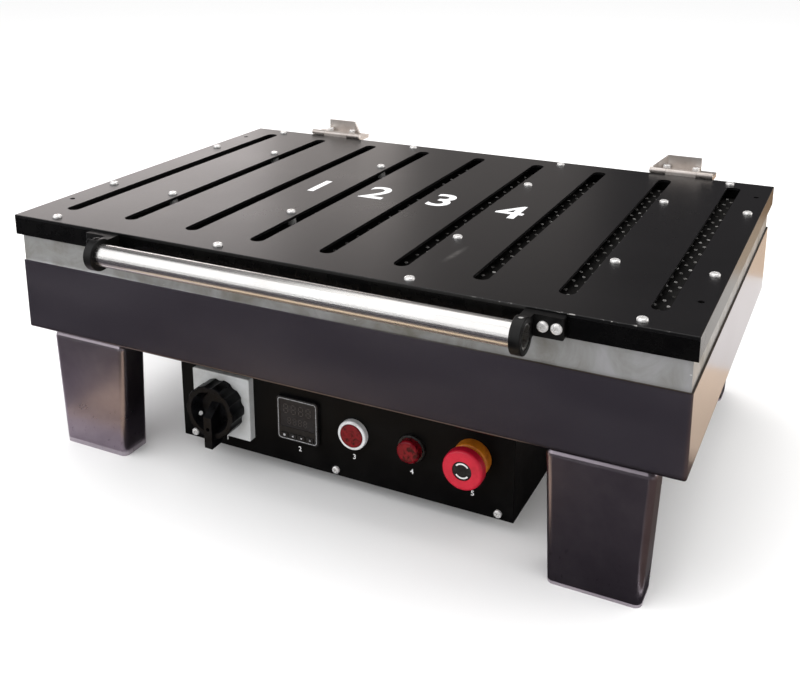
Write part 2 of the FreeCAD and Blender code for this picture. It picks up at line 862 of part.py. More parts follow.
def make_controller():
    """The temperature controller: bezel with a window recess and key pockets, and the body behind it."""
    bezel = slab(controller_size, controller_size, controller_proud, controller_corner_radius)
    bezel = rounded_rim(bezel, z_axis, controller_proud, controller_edge_round)
    bezel = placed(bezel, controller_x, panel_front, control_z, to_front)
    size = controller_body_size
    body = facing(controller_x, control_z, size, size, panel_front, panel_back + controller_body_depth)
    out = controller_front - overcut
    floor = controller_front + window_recess
    tools = [facing(controller_x, window_z, window_width, window_height, out, floor)]
    width = key_width + 2 * running_gap
    height = key_height + 2 * running_gap
    floor = controller_front + key_depth + key_travel + running_gap
    tools += [facing(x, key_z, width, height, out, floor) for x in key_places]
    return joined(bezel, body).cut(tools)


def make_window():
    """The dark window of the controller."""
    width = window_width - 2 * screw_gap
    height = window_height - 2 * screw_gap
    back = controller_front + window_recess
    return facing(controller_x, window_z, width, height, back - window_thickness, back)


def make_key(x):
    """One key of the controller."""
    front = controller_front - key_proud
    key = facing(x, key_z, key_width, key_height, front, controller_front + key_depth)
    return key.makeFillet(key_edge_round, edges_at(key, y_axis, front) + lines_along(key, y_axis))


def make_button_ring():
    """The white ring of the push button with its threaded barrel."""
    room_radius = cap_radius + running_gap
    ring = rod(0, 0, 0, z_axis, room_radius + ring_wall, ring_height)
    ring = rounded_rim(ring, z_axis, ring_height, ring_edge_round)
    ring = joined(ring, rod(0, 0, -barrel_length, z_axis, barrel_radius, barrel_length))
    room = rod(0, 0, ring_floor, z_axis, room_radius, ring_height)
    bore = drill(0, 0, -barrel_length, z_axis, cap_stem_radius + shaft_gap, barrel_length + ring_height)
    return placed(ring.cut([room, bore]), button_x, panel_front, control_z, to_front)


def make_button_cap():
    """The red cap of the push button on its stem."""
    front = ring_height + cap_proud
    back = front - cap_thickness
    cap = rod(0, 0, back, z_axis, cap_radius, cap_thickness)
    cap = rounded_rim(cap, z_axis, front, cap_edge_round)
    cap = joined(cap, rod(0, 0, back - cap_stem_length, z_axis, cap_stem_radius, cap_stem_length))
    return placed(cap, button_x, panel_front, control_z, to_front)


def make_lamp_ring():
    """The dark ring of the alarm lamp with its threaded barrel."""
    seat_radius = lens_radius + screw_gap
    ring = rod(0, 0, 0, z_axis, seat_radius + lamp_ring_wall, lamp_ring_height)
    ring = rounded_rim(ring, z_axis, lamp_ring_height, lamp_ring_round)
    ring = joined(ring, rod(0, 0, -barrel_length, z_axis, barrel_radius, barrel_length))
    seat = rod(0, 0, 0, z_axis, seat_radius, lamp_ring_height + overcut)
    bore = drill(0, 0, -barrel_length, z_axis, barrel_radius - barrel_wall, barrel_length)
    return placed(ring.cut([seat, bore]), lamp_x, panel_front, control_z, to_front)


def make_lens():
    """The red lens of the alarm lamp, plugged into the barrel."""
    lens = rod(0, 0, 0, z_axis, lens_radius, lens_proud)
    lens = rounded_rim(lens, z_axis, lens_proud, lens_edge_round)
    stem_radius = barrel_radius - barrel_wall - screw_gap
    lens = joined(lens, rod(0, 0, -lens_stem_length, z_axis, stem_radius, lens_stem_length))
    return placed(lens, lamp_x, panel_front, control_z, to_front)


def make_stop_collar():
    """The orange collar of the emergency stop with its threaded barrel."""
    collar = rod(0, 0, 0, z_axis, collar_radius, collar_height)
    collar = rounded_rim(collar, z_axis, collar_height, collar_edge_round)
    collar = joined(collar, rod(0, 0, -barrel_length, z_axis, barrel_radius, barrel_length))
    bore = drill(0, 0, -barrel_length, z_axis, plunger_radius + shaft_gap, barrel_length + collar_height)
    return placed(collar.cut(bore), stop_x, panel_front, stop_z, to_front)


def make_plunger():
    """The plunger of the emergency stop, which slides in the collar."""
    front = stop_head_front - stop_head_thickness - running_gap
    plunger = rod(0, 0, -plunger_tail, z_axis, plunger_radius, plunger_tail + front)
    plunger = joined(plunger, rod(0, 0, front, z_axis, plunger_tip_radius, plunger_tip_length))
    return placed(plunger, stop_x, panel_front, stop_z, to_front)


def make_stop_head():
    """The red mushroom head, which turns on the tip of the plunger."""
    back = stop_head_front - stop_head_thickness
    head = rod(0, 0, back, z_axis, stop_head_radius, stop_head_thickness)
    head = rounded_rim(head, z_axis, stop_head_front, stop_head_round)
    dish = rod(0, 0, stop_head_front - stop_dish_depth, z_axis, stop_dish_radius, stop_dish_depth + overcut)
    socket = rod(0, 0, back, z_axis, plunger_tip_radius + shaft_gap, plunger_tip_length)
    return placed(head.cut([dish, socket]), stop_x, panel_front, stop_z, to_front)


def make_lock_nuts():
    """The nuts behind the panel that hold the push button, the lamp and the emergency stop."""
    nut = hexagon(2 * (barrel_radius + lock_nut_wall), lock_nut_height)
    nut = nut.cut(drill(0, 0, 0, z_axis, barrel_radius, lock_nut_height))
    return Part.makeCompound([placed(nut, x, panel_back, z, y_axis) for x, z in barrel_places])


def make_contacts():
    """The contact blocks at the rear ends of the three barrels."""
    start = panel_front + barrel_length
    blocks = []
    for x, z in barrel_places:
        room = rod(x, start, z, y_axis, plunger_radius + running_gap, contact_room_depth)
        blocks.append(facing(x, z, contact_width, contact_height, start, start + contact_depth).cut(room))
    return Part.makeCompound(blocks)


def make_heat_sink():
    """The finned heat sink of the relay, standing on the floor of the control box."""
    fins_top = box_floor + sink_fin_height
    base = standing(sink_x, inner_row, fins_top, sink_width, sink_depth, sink_base)
    pitch = (sink_width - sink_fin_thickness) / (sink_fin_count - 1)
    first = sink_x - (sink_width - sink_fin_thickness) / 2
    fins = []
    for index in range(sink_fin_count):
        x = first + index * pitch
        fins.append(standing(x, inner_row, box_floor, sink_fin_thickness, sink_depth, sink_fin_height))
    return joined(base, fins)


def make_relay():
    """The solid-state relay on the heat sink, with a screw notch at each end."""
    low = box_floor + sink_fin_height + sink_base
    relay = standing(sink_x, inner_row, low, relay_width, relay_depth, relay_height)
    ends = (inner_row - relay_depth / 2, inner_row + relay_depth / 2)
    return relay.cut([drill(sink_x, y, low, z_axis, relay_notch_radius, relay_height) for y in ends])


def make_terminal_block():
    """The terminal block on the floor of the control box."""
    body = standing(terminal_x, inner_row, box_floor, terminal_width, terminal_depth, terminal_height)
    pitch = terminal_width / terminal_ways
    first = terminal_x - (terminal_width - pitch) / 2
    well_floor = box_floor + terminal_height - terminal_well_depth
    depth = terminal_well_depth + overcut
    wells = []
    for way in range(terminal_ways):
        wells.append(rod(first + way * pitch, inner_row, well_floor, z_axis, terminal_well_radius, depth))
    return body.cut(wells)


def make_gland():
    """The gland in the rear wall of the control box where the supply lead enters."""
    end = gland_hex_height + gland_cap_length
    cap = rod(0, 0, gland_hex_height, z_axis, gland_cap_radius, gland_cap_length)
    cap = rounded_rim(cap, z_axis, end, gland_cap_round)
    thread = rod(0, 0, -gland_thread_length, z_axis, gland_thread_radius, gland_thread_length)
    gland = joined(hexagon(gland_hex_across, gland_hex_height), [cap, thread])
    gland = gland.cut(drill(0, 0, -gland_thread_length, z_axis, gland_bore_radius, gland_thread_length + end))
    return placed(gland, gland_x, box_rear, box_bottom + gland_rise, y_axis)


def make_top_plate():
    """The black plate that closes the lid: slots, screw holes and four pilot holes."""
    plate = block(-lid_half, lid_half, lid_front, lid_rear, rail_top, lid_top)
    plate = rounded_rim(plate, z_axis, lid_top, lid_edge_round)
    radius = slot_width / 2
    tools = []
    for x in slot_places:
        first = slot_start + radius
        last = slot_end - radius
        ends = [drill(x, y, rail_top, z_axis, radius, top_plate_thickness) for y in (first, last)]
        middle = block(x - radius, x + radius, first, last, rail_top - overcut, lid_top + overcut)
        tools.append(joined(middle, ends))
    holes = [(x, y, button_shank_radius + screw_gap) for x, y in edge_screw_places + inner_screw_places]
    holes += [(x, y, pilot_hole_radius) for x, y in pilot_places]
    tools += [drill(x, y, rail_top, z_axis, hole, top_plate_thickness) for x, y, hole in holes]
    return plate.cut(tools)


def make_rails():
    """The lid frame: two long rails across the front and the rear, and two side rails between them."""
    hole = button_shank_radius + screw_gap
    depth = button_shank_length - top_plate_thickness + screw_gap
    tools = [rod(x, y, rail_top - depth, z_axis, hole, depth + overcut) for x, y in edge_screw_places]
    reach = flange_screw_length - flange_thickness + screw_gap
    for side in bracket_sides.values():
        for x in flange_screw_row:
            tools.append(rod(side * x, lid_front + reach, flange_screw_z, to_front, hole, reach + overcut))
    inner_front = lid_front + lid_rail_width
    inner_rear = lid_rear - lid_rail_width
    inner_half = lid_half - lid_rail_width
    long_rails = []
    for y0, y1 in ((lid_front, inner_front), (inner_rear, lid_rear)):
        long_rails.append(block(-lid_half, lid_half, y0, y1, rail_bottom, rail_top).cut(tools))
    side_rails = []
    for x0, x1 in ((-lid_half, -inner_half), (inner_half, lid_half)):
        side_rails.append(block(x0, x1, inner_front, inner_rear, rail_bottom, rail_top).cut(tools))
    return Part.makeCompound(long_rails), Part.makeCompound(side_rails)


def make_baffle():
    """The thin sheet hung below the top plate, with staggered holes under each slot."""
    inset = lid_rail_width + baffle_gap
    half = lid_half - inset
    front = lid_front + inset
    rear = lid_rear - inset
    outline = [(-half, front), (half, front), (half, rear), (-half, rear), (-half, front)]
    wires = [Part.makePolygon([FreeCAD.Vector(x, y, baffle_bottom) for x, y in outline])]
    holes = [(x, y, button_shank_radius + screw_gap) for x, y in inner_screw_places]
    for slot_x in slot_places:
        for row in range(int((slot_end - slot_start) / perforation_pitch)):
            y = slot_start + (row + 0.5) * perforation_pitch
            columns = perforation_columns - 1 + row % 2
            first = slot_x - (columns - 1) / 2 * perforation_pitch
            holes += [(first + column * perforation_pitch, y, perforation_radius) for column in range(columns)]
    for x, y, radius in holes:
        wires.append(Part.Wire(Part.makeCircle(radius, FreeCAD.Vector(x, y, baffle_bottom))))
    return Part.makeFace(wires, "Part::FaceMakerBullseye").extrude(z_axis * baffle_thickness)


def make_lid_screws():
    """The screws that hold the top plate to the rails."""
    one = button_screw(button_shank_length)
    return Part.makeCompound([placed(one, x, y, lid_top) for x, y in edge_screw_places])


def make_baffle_screws():
    """The screws that hang the baffle from the top plate."""
    one = button_screw(lid_top - baffle_bottom + nut_height)
    return Part.makeCompound([placed(one, x, y, lid_top) for x, y in inner_screw_places])


def make_baffle_spacers():
    """The spacers between the top plate and the baffle."""
    one = rod(0, 0, 0, z_axis, button_shank_radius + spacer_wall, baffle_drop)
    one = one.cut(drill(0, 0, 0, z_axis, button_shank_radius + screw_gap, baffle_drop))
    return Part.makeCompound([placed(one, x, y, baffle_top) for x, y in inner_screw_places])


def make_baffle_nuts():
    """The nuts below the baffle."""
    one = hexagon(2 * (button_shank_radius + nut_wall), nut_height)
    one = one.cut(drill(0, 0, 0, z_axis, button_shank_radius, nut_height))
    return Part.makeCompound([placed(one, x, y, baffle_bottom - nut_height) for x, y in inner_screw_places])


def make_tube():
    """The handle tube, clamped in the two brackets."""
    end = clamp_end - tube_end_inset
    tube = rod(-end, handle_y, handle_z, x_axis, tube_radius, 2 * end)
    return tube.cut(drill(-end, handle_y, handle_z, x_axis, tube_radius - tube_wall, 2 * end))


def make_bracket(side):
    """One handle bracket: clamp ring, neck, and a flange screwed to the front rail."""
    ring = rod(clamp_start, handle_y, handle_z, x_axis, clamp_radius, clamp_width)
    rims = edges_at(ring, x_axis, clamp_start) + edges_at(ring, x_axis, clamp_end)
    ring = ring.makeFillet(clamp_edge_round, rims)
    low = flange_top - flange_height
    neck = block(clamp_start, clamp_end, handle_y, lid_front, low, flange_top)
    flange = block(clamp_start, bracket_tip, lid_front - flange_thickness, lid_front, low, flange_top)
    flange = rounded_rim(flange, x_axis, bracket_tip, flange_edge_round)
    tools = [drill(clamp_start, handle_y, handle_z, x_axis, tube_radius, clamp_width)]
    hole = button_shank_radius + screw_gap
    for x in flange_screw_row:
        tools.append(drill(x, lid_front, flange_screw_z, to_front, hole, flange_thickness))
    tools.append(drill(clamp_middle, handle_y, handle_z, z_axis, set_screw_radius + screw_gap, clamp_radius))
    bracket = joined(ring, [neck, flange]).cut(tools)
    return bracket if side > 0 else bracket.mirror(FreeCAD.Vector(0, 0, 0), x_axis)


def make_handle_screws():
    """The flange screws and the set screws of the two handle brackets."""
    flange_screw = button_screw(flange_screw_length)
    length = clamp_wall - set_screw_sunk
    set_screw = rod(0, 0, 0, z_axis, set_screw_radius, length)
    socket = hexagon(set_screw_socket_across, set_screw_socket_depth + overcut)
    set_screw = set_screw.cut(placed(socket, 0, 0, length - set_screw_socket_depth))
    solids = []
    for side in bracket_sides.values():
        for x in flange_screw_row:
            solids.append(placed(flange_screw, side * x, lid_front - flange_thickness, flange_screw_z, to_front))
        solids.append(placed(set_screw, side * clamp_middle, handle_y, handle_z + tube_radius))
    return Part.makeCompound(solids)


def make_lid_leaf(x):
    """The hinge leaf on the rear rail, with its knuckle between the two fixed ones."""
    length = lid_knuckle_length - 2 * running_gap
    start = x - length / 2
    low = rail_bottom + lid_leaf_clear
    plate = block(start, start + length, lid_rear, lid_rear + leaf_thickness, low, hinge_z)
    knuckle = rod(start, hinge_y, hinge_z, x_axis, knuckle_radius - running_gap, length)
    bore = drill(start, hinge_y, hinge_z, x_axis, pin_radius + shaft_gap, length)
    return joined(plate, knuckle).cut(bore)


def make_base_leaf(x):
    """The fixed hinge leaf on the shelf, with a knuckle at each end."""
    half = hinge_width / 2
    gap = lid_knuckle_length / 2
    leaf = block(x - half, x + half, hinge_y, shelf_rear, shelf_top, leaf_top)
    starts = (x - half, x + gap)
    knuckles = [rod(start, hinge_y, hinge_z, x_axis, knuckle_radius, half - gap) for start in starts]
    notch_rear = hinge_y + knuckle_radius + overcut
    notch = block(x - gap, x + gap, lid_rear, notch_rear, shelf_top - overcut, leaf_top + overcut)
    bore = drill(x - half, hinge_y, hinge_z, x_axis, pin_radius + shaft_gap, hinge_width)
    return joined(leaf, knuckles).cut([notch, bore] + rest_screw_holes(x))


def make_pin(x):
    """One hinge pin."""
    return rod(x - hinge_width / 2, hinge_y, hinge_z, x_axis, pin_radius, hinge_width)


def inner_side(x):
    """Which way the middle of the lid lies from a hinge: 1 to the right, -1 to the left."""
    return -1 if x > 0 else 1


def rest_screw_places(x):
    """Where the two screws of a lid rest sit, a little towards its wing."""
    middle = x + inner_side(x) * rest_screw_shift
    return [(middle + side * rest_screw_spacing / 2, lid_rear + rest_screw_back) for side in (-1, 1)]


def rest_screw_holes(x):
    """The holes for the two screws of a lid rest."""
    low = shelf_top - carrier_thickness
    places = rest_screw_places(x)
    return [drill(px, py, low, z_axis, cap_screw_radius + screw_gap, rest_floor - low) for px, py in places]


def carrier_screw_places(x):
    """Where the four screws of a carrier sit on the rear wall of the case."""
    low = case_top - carrier_drop + carrier_screw_margin
    heights = (low, low + carrier_screw_spacing_z)
    return [(x + side * carrier_screw_spacing_x / 2, z) for side in (-1, 1) for z in heights]


def make_carrier(x):
    """The angle on the rear wall of the case that carries one hinge and one lid rest."""
    half = hinge_width / 2
    back = case_rear + carrier_thickness
    upright = block(x - half, x + half, case_rear, back, case_top - carrier_drop, shelf_top)
    shelf = block(x - half, x + half, case_rear, shelf_rear, shelf_top - carrier_thickness, shelf_top)
    holes = rest_screw_holes(x)
    for px, pz in carrier_screw_places(x):
        holes.append(drill(px, case_rear, pz, y_axis, cap_screw_radius + screw_gap, carrier_thickness))
    return joined(upright, shelf).cut(holes)


def make_rest(x):
    """The stainless rest that the opened lid leans back on: base, rear wall and one splayed wing on its inner side."""
    wall_half = rest_wall_width / 2
    inner = inner_side(x)
    wall_y = lid_rear + rest_wall_back
    front_y = hinge_y + knuckle_radius + rest_knuckle_gap
    top = lid_top + rest_rise
    foot = FreeCAD.Vector(x + inner * (wall_half + rest_splay), front_y, leaf_top)
    heel = FreeCAD.Vector(x + inner * wall_half, wall_y, leaf_top)
    outer = x - inner * wall_half
    points = [foot, FreeCAD.Vector(outer, front_y, leaf_top), FreeCAD.Vector(outer, wall_y, leaf_top), heel]
    base = Part.Face(Part.makePolygon(points + points[:1])).extrude(z_axis * rest_sheet)
    wall = block(x - wall_half, x + wall_half, wall_y - rest_sheet, wall_y, leaf_top, top)
    crown = FreeCAD.Vector(heel.x, heel.y, top)
    toe = FreeCAD.Vector(foot.x, foot.y, rest_floor + rest_toe_rise)
    inward = z_axis.cross(heel - foot) * inner
    inward.normalize()
    wing = Part.Face(Part.makePolygon([foot, heel, crown, toe, foot])).extrude(inward * rest_sheet)
    return joined(base, [wall, wing]).cut(rest_screw_holes(x))


def make_hinge_screws():
    """The cap screws of the lid rests and of the carriers."""
    rest_screw = cap_screw(rest_sheet + leaf_thickness + carrier_thickness + cap_screw_tail)
    carrier_screw = cap_screw(carrier_thickness + sheet + carrier_screw_tail)
    solids = []
    for x in hinge_places:
        solids += [placed(rest_screw, px, py, rest_floor) for px, py in rest_screw_places(x)]
        for px, pz in carrier_screw_places(x):
            solids.append(placed(carrier_screw, px, case_rear + carrier_thickness, pz, y_axis))
    return Part.makeCompound(solids)


nodes = {"base_case": make_case()}
for name, (x, y) in leg_places.items():
    nodes[name] = make_leg(x, y)
nodes["leg_foot_plates"] = make_foot_plates()
nodes["chamber_band"] = make_band()
nodes["lid_seal"] = make_seal()
nodes["insulation_boards"] = make_insulation()
nodes["heater_plate"] = make_hot_plate()
nodes["heating_elements"] = make_elements()
nodes["plate_standoffs"] = make_standoffs()
nodes["plate_screws"] = make_plate_screws()
nodes["thermocouple"] = make_thermocouple()
nodes["overheat_thermostat"] = make_thermostat()
nodes["wire_grommet"] = make_grommet()
nodes["control_box"] = make_control_box()
nodes["control_panel"] = make_panel()
nodes["panel_screws"] = make_panel_screws()
nodes["switch_plate"] = make_switch_plate()
nodes["main_switch_body"] = make_switch_body()
nodes["main_switch_knob"] = make_knob()
nodes["controller_housing"] = make_controller()
nodes["controller_window"] = make_window()
for number, x in enumerate(key_places, start=1):
    nodes["controller_key_%d" % number] = make_key(x)
nodes["heat_button_ring"] = make_button_ring()
nodes["heat_button_cap"] = make_button_cap()
nodes["alarm_lamp_ring"] = make_lamp_ring()
nodes["alarm_lamp_lens"] = make_lens()
nodes["stop_collar"] = make_stop_collar()
nodes["stop_plunger"] = make_plunger()
nodes["stop_head"] = make_stop_head()
nodes["lock_nuts"] = make_lock_nuts()
nodes["contact_blocks"] = make_contacts()
nodes["relay_heat_sink"] = make_heat_sink()
nodes["heater_relay"] = make_relay()
nodes["terminal_block"] = make_terminal_block()
nodes["cable_gland"] = make_gland()
nodes["lid_top_plate"] = make_top_plate()
nodes["lid_long_rails"], nodes["lid_side_rails"] = make_rails()
nodes["baffle_plate"] = make_baffle()
nodes["lid_screws"] = make_lid_screws()
nodes["baffle_screws"] = make_baffle_screws()
nodes["baffle_spacers"] = make_baffle_spacers()
nodes["baffle_nuts"] = make_baffle_nuts()
nodes["handle_tube"] = make_tube()
for name, side in bracket_sides.items():
    nodes["handle_bracket_" + name] = make_bracket(side)
nodes["handle_screws"] = make_handle_screws()
nodes["lid_hinge_leaves"] = Part.makeCompound([make_lid_leaf(x) for x in hinge_places])
nodes["base_hinge_leaves"] = Part.makeCompound([make_base_leaf(x) for x in hinge_places])
nodes["hinge_pins"] = Part.makeCompound([make_pin(x) for x in hinge_places])
nodes["hinge_carriers"] = Part.makeCompound([make_carrier(x) for x in hinge_places])
nodes["lid_rests"] = Part.makeCompound([make_rest(x) for x in hinge_places])
nodes["hinge_screws"] = make_hinge_screws()

os.makedirs("parts", exist_ok=True)
for name, shape in nodes.items():
    shape.exportStep("parts/%s.step" % name)
print(len(nodes), "nodes, lid top at", round(lid_top, 1), "mm, overall depth", round(total_depth, 1), "mm")
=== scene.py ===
import math

import bmesh
import bpy
from mathutils import Matrix, Vector


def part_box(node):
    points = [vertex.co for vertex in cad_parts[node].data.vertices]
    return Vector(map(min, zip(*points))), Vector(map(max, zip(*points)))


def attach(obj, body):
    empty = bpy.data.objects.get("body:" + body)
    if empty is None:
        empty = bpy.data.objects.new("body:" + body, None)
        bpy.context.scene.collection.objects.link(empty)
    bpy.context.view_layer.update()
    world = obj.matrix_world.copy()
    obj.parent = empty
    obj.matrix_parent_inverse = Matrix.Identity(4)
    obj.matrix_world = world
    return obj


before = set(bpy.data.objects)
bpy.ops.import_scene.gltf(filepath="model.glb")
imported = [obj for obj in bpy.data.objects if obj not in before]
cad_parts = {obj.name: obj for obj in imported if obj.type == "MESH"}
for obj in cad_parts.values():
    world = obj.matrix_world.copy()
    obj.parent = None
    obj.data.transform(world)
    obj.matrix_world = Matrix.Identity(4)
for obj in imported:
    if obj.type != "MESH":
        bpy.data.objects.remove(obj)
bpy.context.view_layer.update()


# The case is a shallow tray of folded stainless sheet, half polished. A painted highlight runs along its top
# rim on the left and turns into a painted shadow line on the right, and its bottom fold is painted darker as
# shade.
# The rolling grain runs level round all four walls, and handling has left soft smears and a few pits.
def new_finish(name, colour, metal, rough):
    """A material with its even values on the shader's own sockets."""
    finish = bpy.data.materials.new(name)
    finish.use_nodes = True
    shader = finish.node_tree.nodes["Principled BSDF"]
    shader.inputs["Base Color"].default_value = (*colour, 1)
    shader.inputs["Metallic"].default_value = metal
    shader.inputs["Roughness"].default_value = rough
    return finish


def add(owner, kind, inputs=None, **settings):
    """One node of a finish or a tree, with its inputs set to values or linked to sockets."""
    graph = getattr(owner, "node_tree", owner)
    made = graph.nodes.new(kind)
    for key, value in settings.items():
        setattr(made, key, value)
    for key, value in (inputs or {}).items():
        for source in value if isinstance(value, list) else [value]:
            if isinstance(source, bpy.types.NodeSocket):
                graph.links.new(source, made.inputs[key])
            else:
                made.inputs[key].default_value = source
    return made


def feed(finish, socket, value):
    """Links a value to one socket of the finish's shader."""
    shader = finish.node_tree.nodes["Principled BSDF"]
    finish.node_tree.links.new(value, shader.inputs[socket])


def places(finish, stretch=(1, 1, 1), shift=(0, 0, 0)):
    """Object coordinates in metres, stretched along the three axes, then shifted."""
    where = add(finish, "ShaderNodeTexCoord").outputs["Object"]
    return add(finish, "ShaderNodeMapping", {"Vector": where, "Scale": stretch, "Location": shift}).outputs[0]


def along(finish, axis):
    """One object coordinate, in metres."""
    where = add(finish, "ShaderNodeTexCoord").outputs["Object"]
    return add(finish, "ShaderNodeSeparateXYZ", {"Vector": where}).outputs[axis]


def noise(finish, scale, detail=3, rough=0.55, stretch=(1, 1, 1), twist=0.0):
    """Cloudy noise from 0 to 1."""
    inputs = {
        "Vector": places(finish, stretch),
        "Scale": scale,
        "Detail": detail,
        "Roughness": rough,
        "Distortion": twist,
    }
    return add(finish, "ShaderNodeTexNoise", inputs).outputs[0]


def spread(finish, amount, low, high, start=0.3, end=0.7):
    """Maps a share between start and end to the range from low to high."""
    inputs = {"Value": amount, "From Min": start, "From Max": end, "To Min": low, "To Max": high}
    return add(finish, "ShaderNodeMapRange", inputs).outputs[0]


def tones(finish, amount, *stops):
    """A colour ramp through (share, colour) stops."""
    ramp = add(finish, "ShaderNodeValToRGB", {"Fac": amount})
    points = ramp.color_ramp.elements
    while len(points) < len(stops):
        points.new(0.5)
    for point, (share, colour) in zip(points, stops):
        point.position = share
        point.color = (*colour, 1)
    return ramp.outputs[0]


def sums(owner, how, a, b):
    """One arithmetic step on two values."""
    return add(owner, "ShaderNodeMath", {0: a, 1: b}, operation=how).outputs[0]


def layers(finish, *shares):
    """A sum of (noise, share) layers."""
    total = None
    for value, share in shares:
        part = sums(finish, "MULTIPLY", value, share)
        total = part if total is None else sums(finish, "ADD", total, part)
    return total


def blended(finish, amount, a, b):
    """Colour a turning into the even colour b."""
    return add(finish, "ShaderNodeMix", {0: amount, 6: a, 7: (*b, 1)}, data_type="RGBA").outputs[2]


def roughened(finish, amount, low, high):
    """Roughness from low to high as a share grows."""
    feed(finish, "Roughness", spread(finish, amount, low, high))


def relief(finish, height, strength, depth=0.0002):
    """Feeds a height into the shader as bump."""
    made = add(finish, "ShaderNodeBump", {"Height": height, "Strength": strength, "Distance": depth})
    feed(finish, "Normal", made.outputs[0])


def dress(finish, *names):
    """Gives CAD nodes their finish."""
    for name in names:
        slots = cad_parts[name].data.materials
        slots.clear()
        slots.append(finish)


case_stainless = new_finish("case_stainless", (0.36, 0.335, 0.375), metal=1.0, rough=0.22)
case_low, case_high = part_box("base_case")
grain = noise(case_stainless, scale=1.0, detail=4, rough=0.7, stretch=(5, 5, 900))
smear = noise(case_stainless, scale=6.0, detail=3, rough=0.5, stretch=(1, 1, 2.2), twist=0.5)
tone = layers(case_stainless, (smear, 0.8), (grain, 0.2))
satin = tones(
    case_stainless,
    tone,
    (0.3, (0.33, 0.305, 0.345)),
    (0.5, (0.36, 0.335, 0.375)),
    (0.7, (0.41, 0.385, 0.42)),
)
specks = noise(case_stainless, scale=420.0, detail=1, rough=0.3)
pits = spread(case_stainless, specks, low=0, high=0.8, start=0.75, end=0.79)
satin = blended(case_stainless, pits, satin, (0.08, 0.07, 0.08))
# Painted shade: the bottom fold of the case is darkened to a dull red-brown.
fold_from, fold_to = case_low.z + 0.0015, case_low.z + 0.005
painted_fold_shade = spread(case_stainless, along(case_stainless, "Z"), low=0.85, high=0, start=fold_from, end=fold_to)
satin = blended(case_stainless, painted_fold_shade, satin, (0.10, 0.08, 0.08))
# Painted highlight: a thin near-white line along the top rim.
rim_from, rim_to = case_high.z - 0.0008, case_high.z - 0.0005
rim = spread(case_stainless, along(case_stainless, "Z"), low=0, high=1, start=rim_from, end=rim_to)
satin = blended(case_stainless, rim, satin, (0.95, 0.95, 0.97))
# Painted shadow: from the middle to the right, the rim line turns dark brown, standing in for the shadow gap
# under the band.
rim_shadow_share = spread(case_stainless, along(case_stainless, "X"), low=0, high=1, start=-0.1, end=0.22)
satin = blended(case_stainless, sums(case_stainless, "MULTIPLY", rim, rim_shadow_share), satin, (0.15, 0.12, 0.10))
feed(case_stainless, "Base Color", satin)
roughened(case_stainless, tone, 0.19, 0.26)
relief(case_stainless, grain, strength=0.05)
dress(case_stainless, "base_case")


# The four legs are tapered boxes folded from the same sheet, seam-welded and closed by a plate at the foot.
# They are ground after welding, so the face is softly clouded, and the feet have dark scuffs.
leg_stainless = new_finish("leg_stainless", (0.36, 0.32, 0.36), metal=1.0, rough=0.36)
cloud = noise(leg_stainless, scale=14.0, detail=4, rough=0.55, stretch=(1, 1, 0.8), twist=0.4)
fine = noise(leg_stainless, scale=70.0, detail=3, rough=0.6)
tone = layers(leg_stainless, (cloud, 0.75), (fine, 0.25))
ground = tones(
    leg_stainless,
    tone,
    (0.32, (0.30, 0.265, 0.30)),
    (0.5, (0.36, 0.32, 0.36)),
    (0.68, (0.43, 0.385, 0.42)),
)
near_foot = spread(leg_stainless, along(leg_stainless, "Z"), low=0.5, high=0, start=0.02, end=0.05)
scratches = noise(leg_stainless, scale=220.0, detail=2, rough=0.5, stretch=(1, 1, 0.7))
scuffs = spread(leg_stainless, scratches, low=0, high=1, start=0.64, end=0.74)
scuffs = sums(leg_stainless, "MULTIPLY", scuffs, near_foot)
ground = blended(leg_stainless, scuffs, ground, (0.10, 0.085, 0.10))
feed(leg_stainless, "Base Color", ground)
roughened(leg_stainless, tone, 0.26, 0.34)
relief(leg_stainless, fine, strength=0.04)
dress(
    leg_stainless,
    "front_left_leg",
    "front_right_leg",
    "rear_left_leg",
    "rear_right_leg",
    "leg_foot_plates",
)


# The chamber band is a rim of zinc-coated sheet that stands on the case and carries the lid.
# The zinc is dull and clouded by heat and fingers, with a few bright specks where it is rubbed.
band_zinc = new_finish("band_zinc", (0.46, 0.46, 0.45), metal=0.55, rough=0.45)
stain = noise(band_zinc, scale=24.0, detail=5, rough=0.62, stretch=(1, 1, 0.8), twist=1.0)
runs = noise(band_zinc, scale=40.0, detail=3, rough=0.6, stretch=(1, 1, 0.2))
tone = layers(band_zinc, (stain, 0.7), (runs, 0.3))
zinc = tones(
    band_zinc,
    tone,
    (0.34, (0.23, 0.22, 0.19)),
    (0.5, (0.335, 0.335, 0.325)),
    (0.66, (0.43, 0.43, 0.44)),
)
specks = noise(band_zinc, scale=300.0, detail=1, rough=0.3, stretch=(0.5, 0.5, 1))
rubbed = spread(band_zinc, specks, low=0, high=0.7, start=0.78, end=0.82)
feed(band_zinc, "Base Color", blended(band_zinc, rubbed, zinc, (0.85, 0.85, 0.85)))
roughened(band_zinc, tone, 0.52, 0.38)
relief(band_zinc, runs, strength=0.06)
dress(band_zinc, "chamber_band")


# The lid seal is a flat ring of black silicone rubber bonded to the top of the band.
# The wires' grommet is of the same rubber. The moulded face is matt and holds a little pale dust.
def coloured(finish, amount, *stops):
    """Base colour through (share, colour) stops as a share grows."""
    feed(finish, "Base Color", tones(finish, amount, *stops))


seal_rubber = new_finish("seal_rubber", (0.02, 0.02, 0.021), metal=0.0, rough=0.72)
dust = noise(seal_rubber, scale=160.0, detail=4, rough=0.6)
coloured(seal_rubber, dust, (0.45, (0.010, 0.010, 0.011)), (0.8, (0.040, 0.038, 0.036)))
roughened(seal_rubber, dust, 0.62, 0.85)
relief(seal_rubber, noise(seal_rubber, scale=900.0, detail=2), strength=0.12)
dress(seal_rubber, "lid_seal", "wire_grommet")


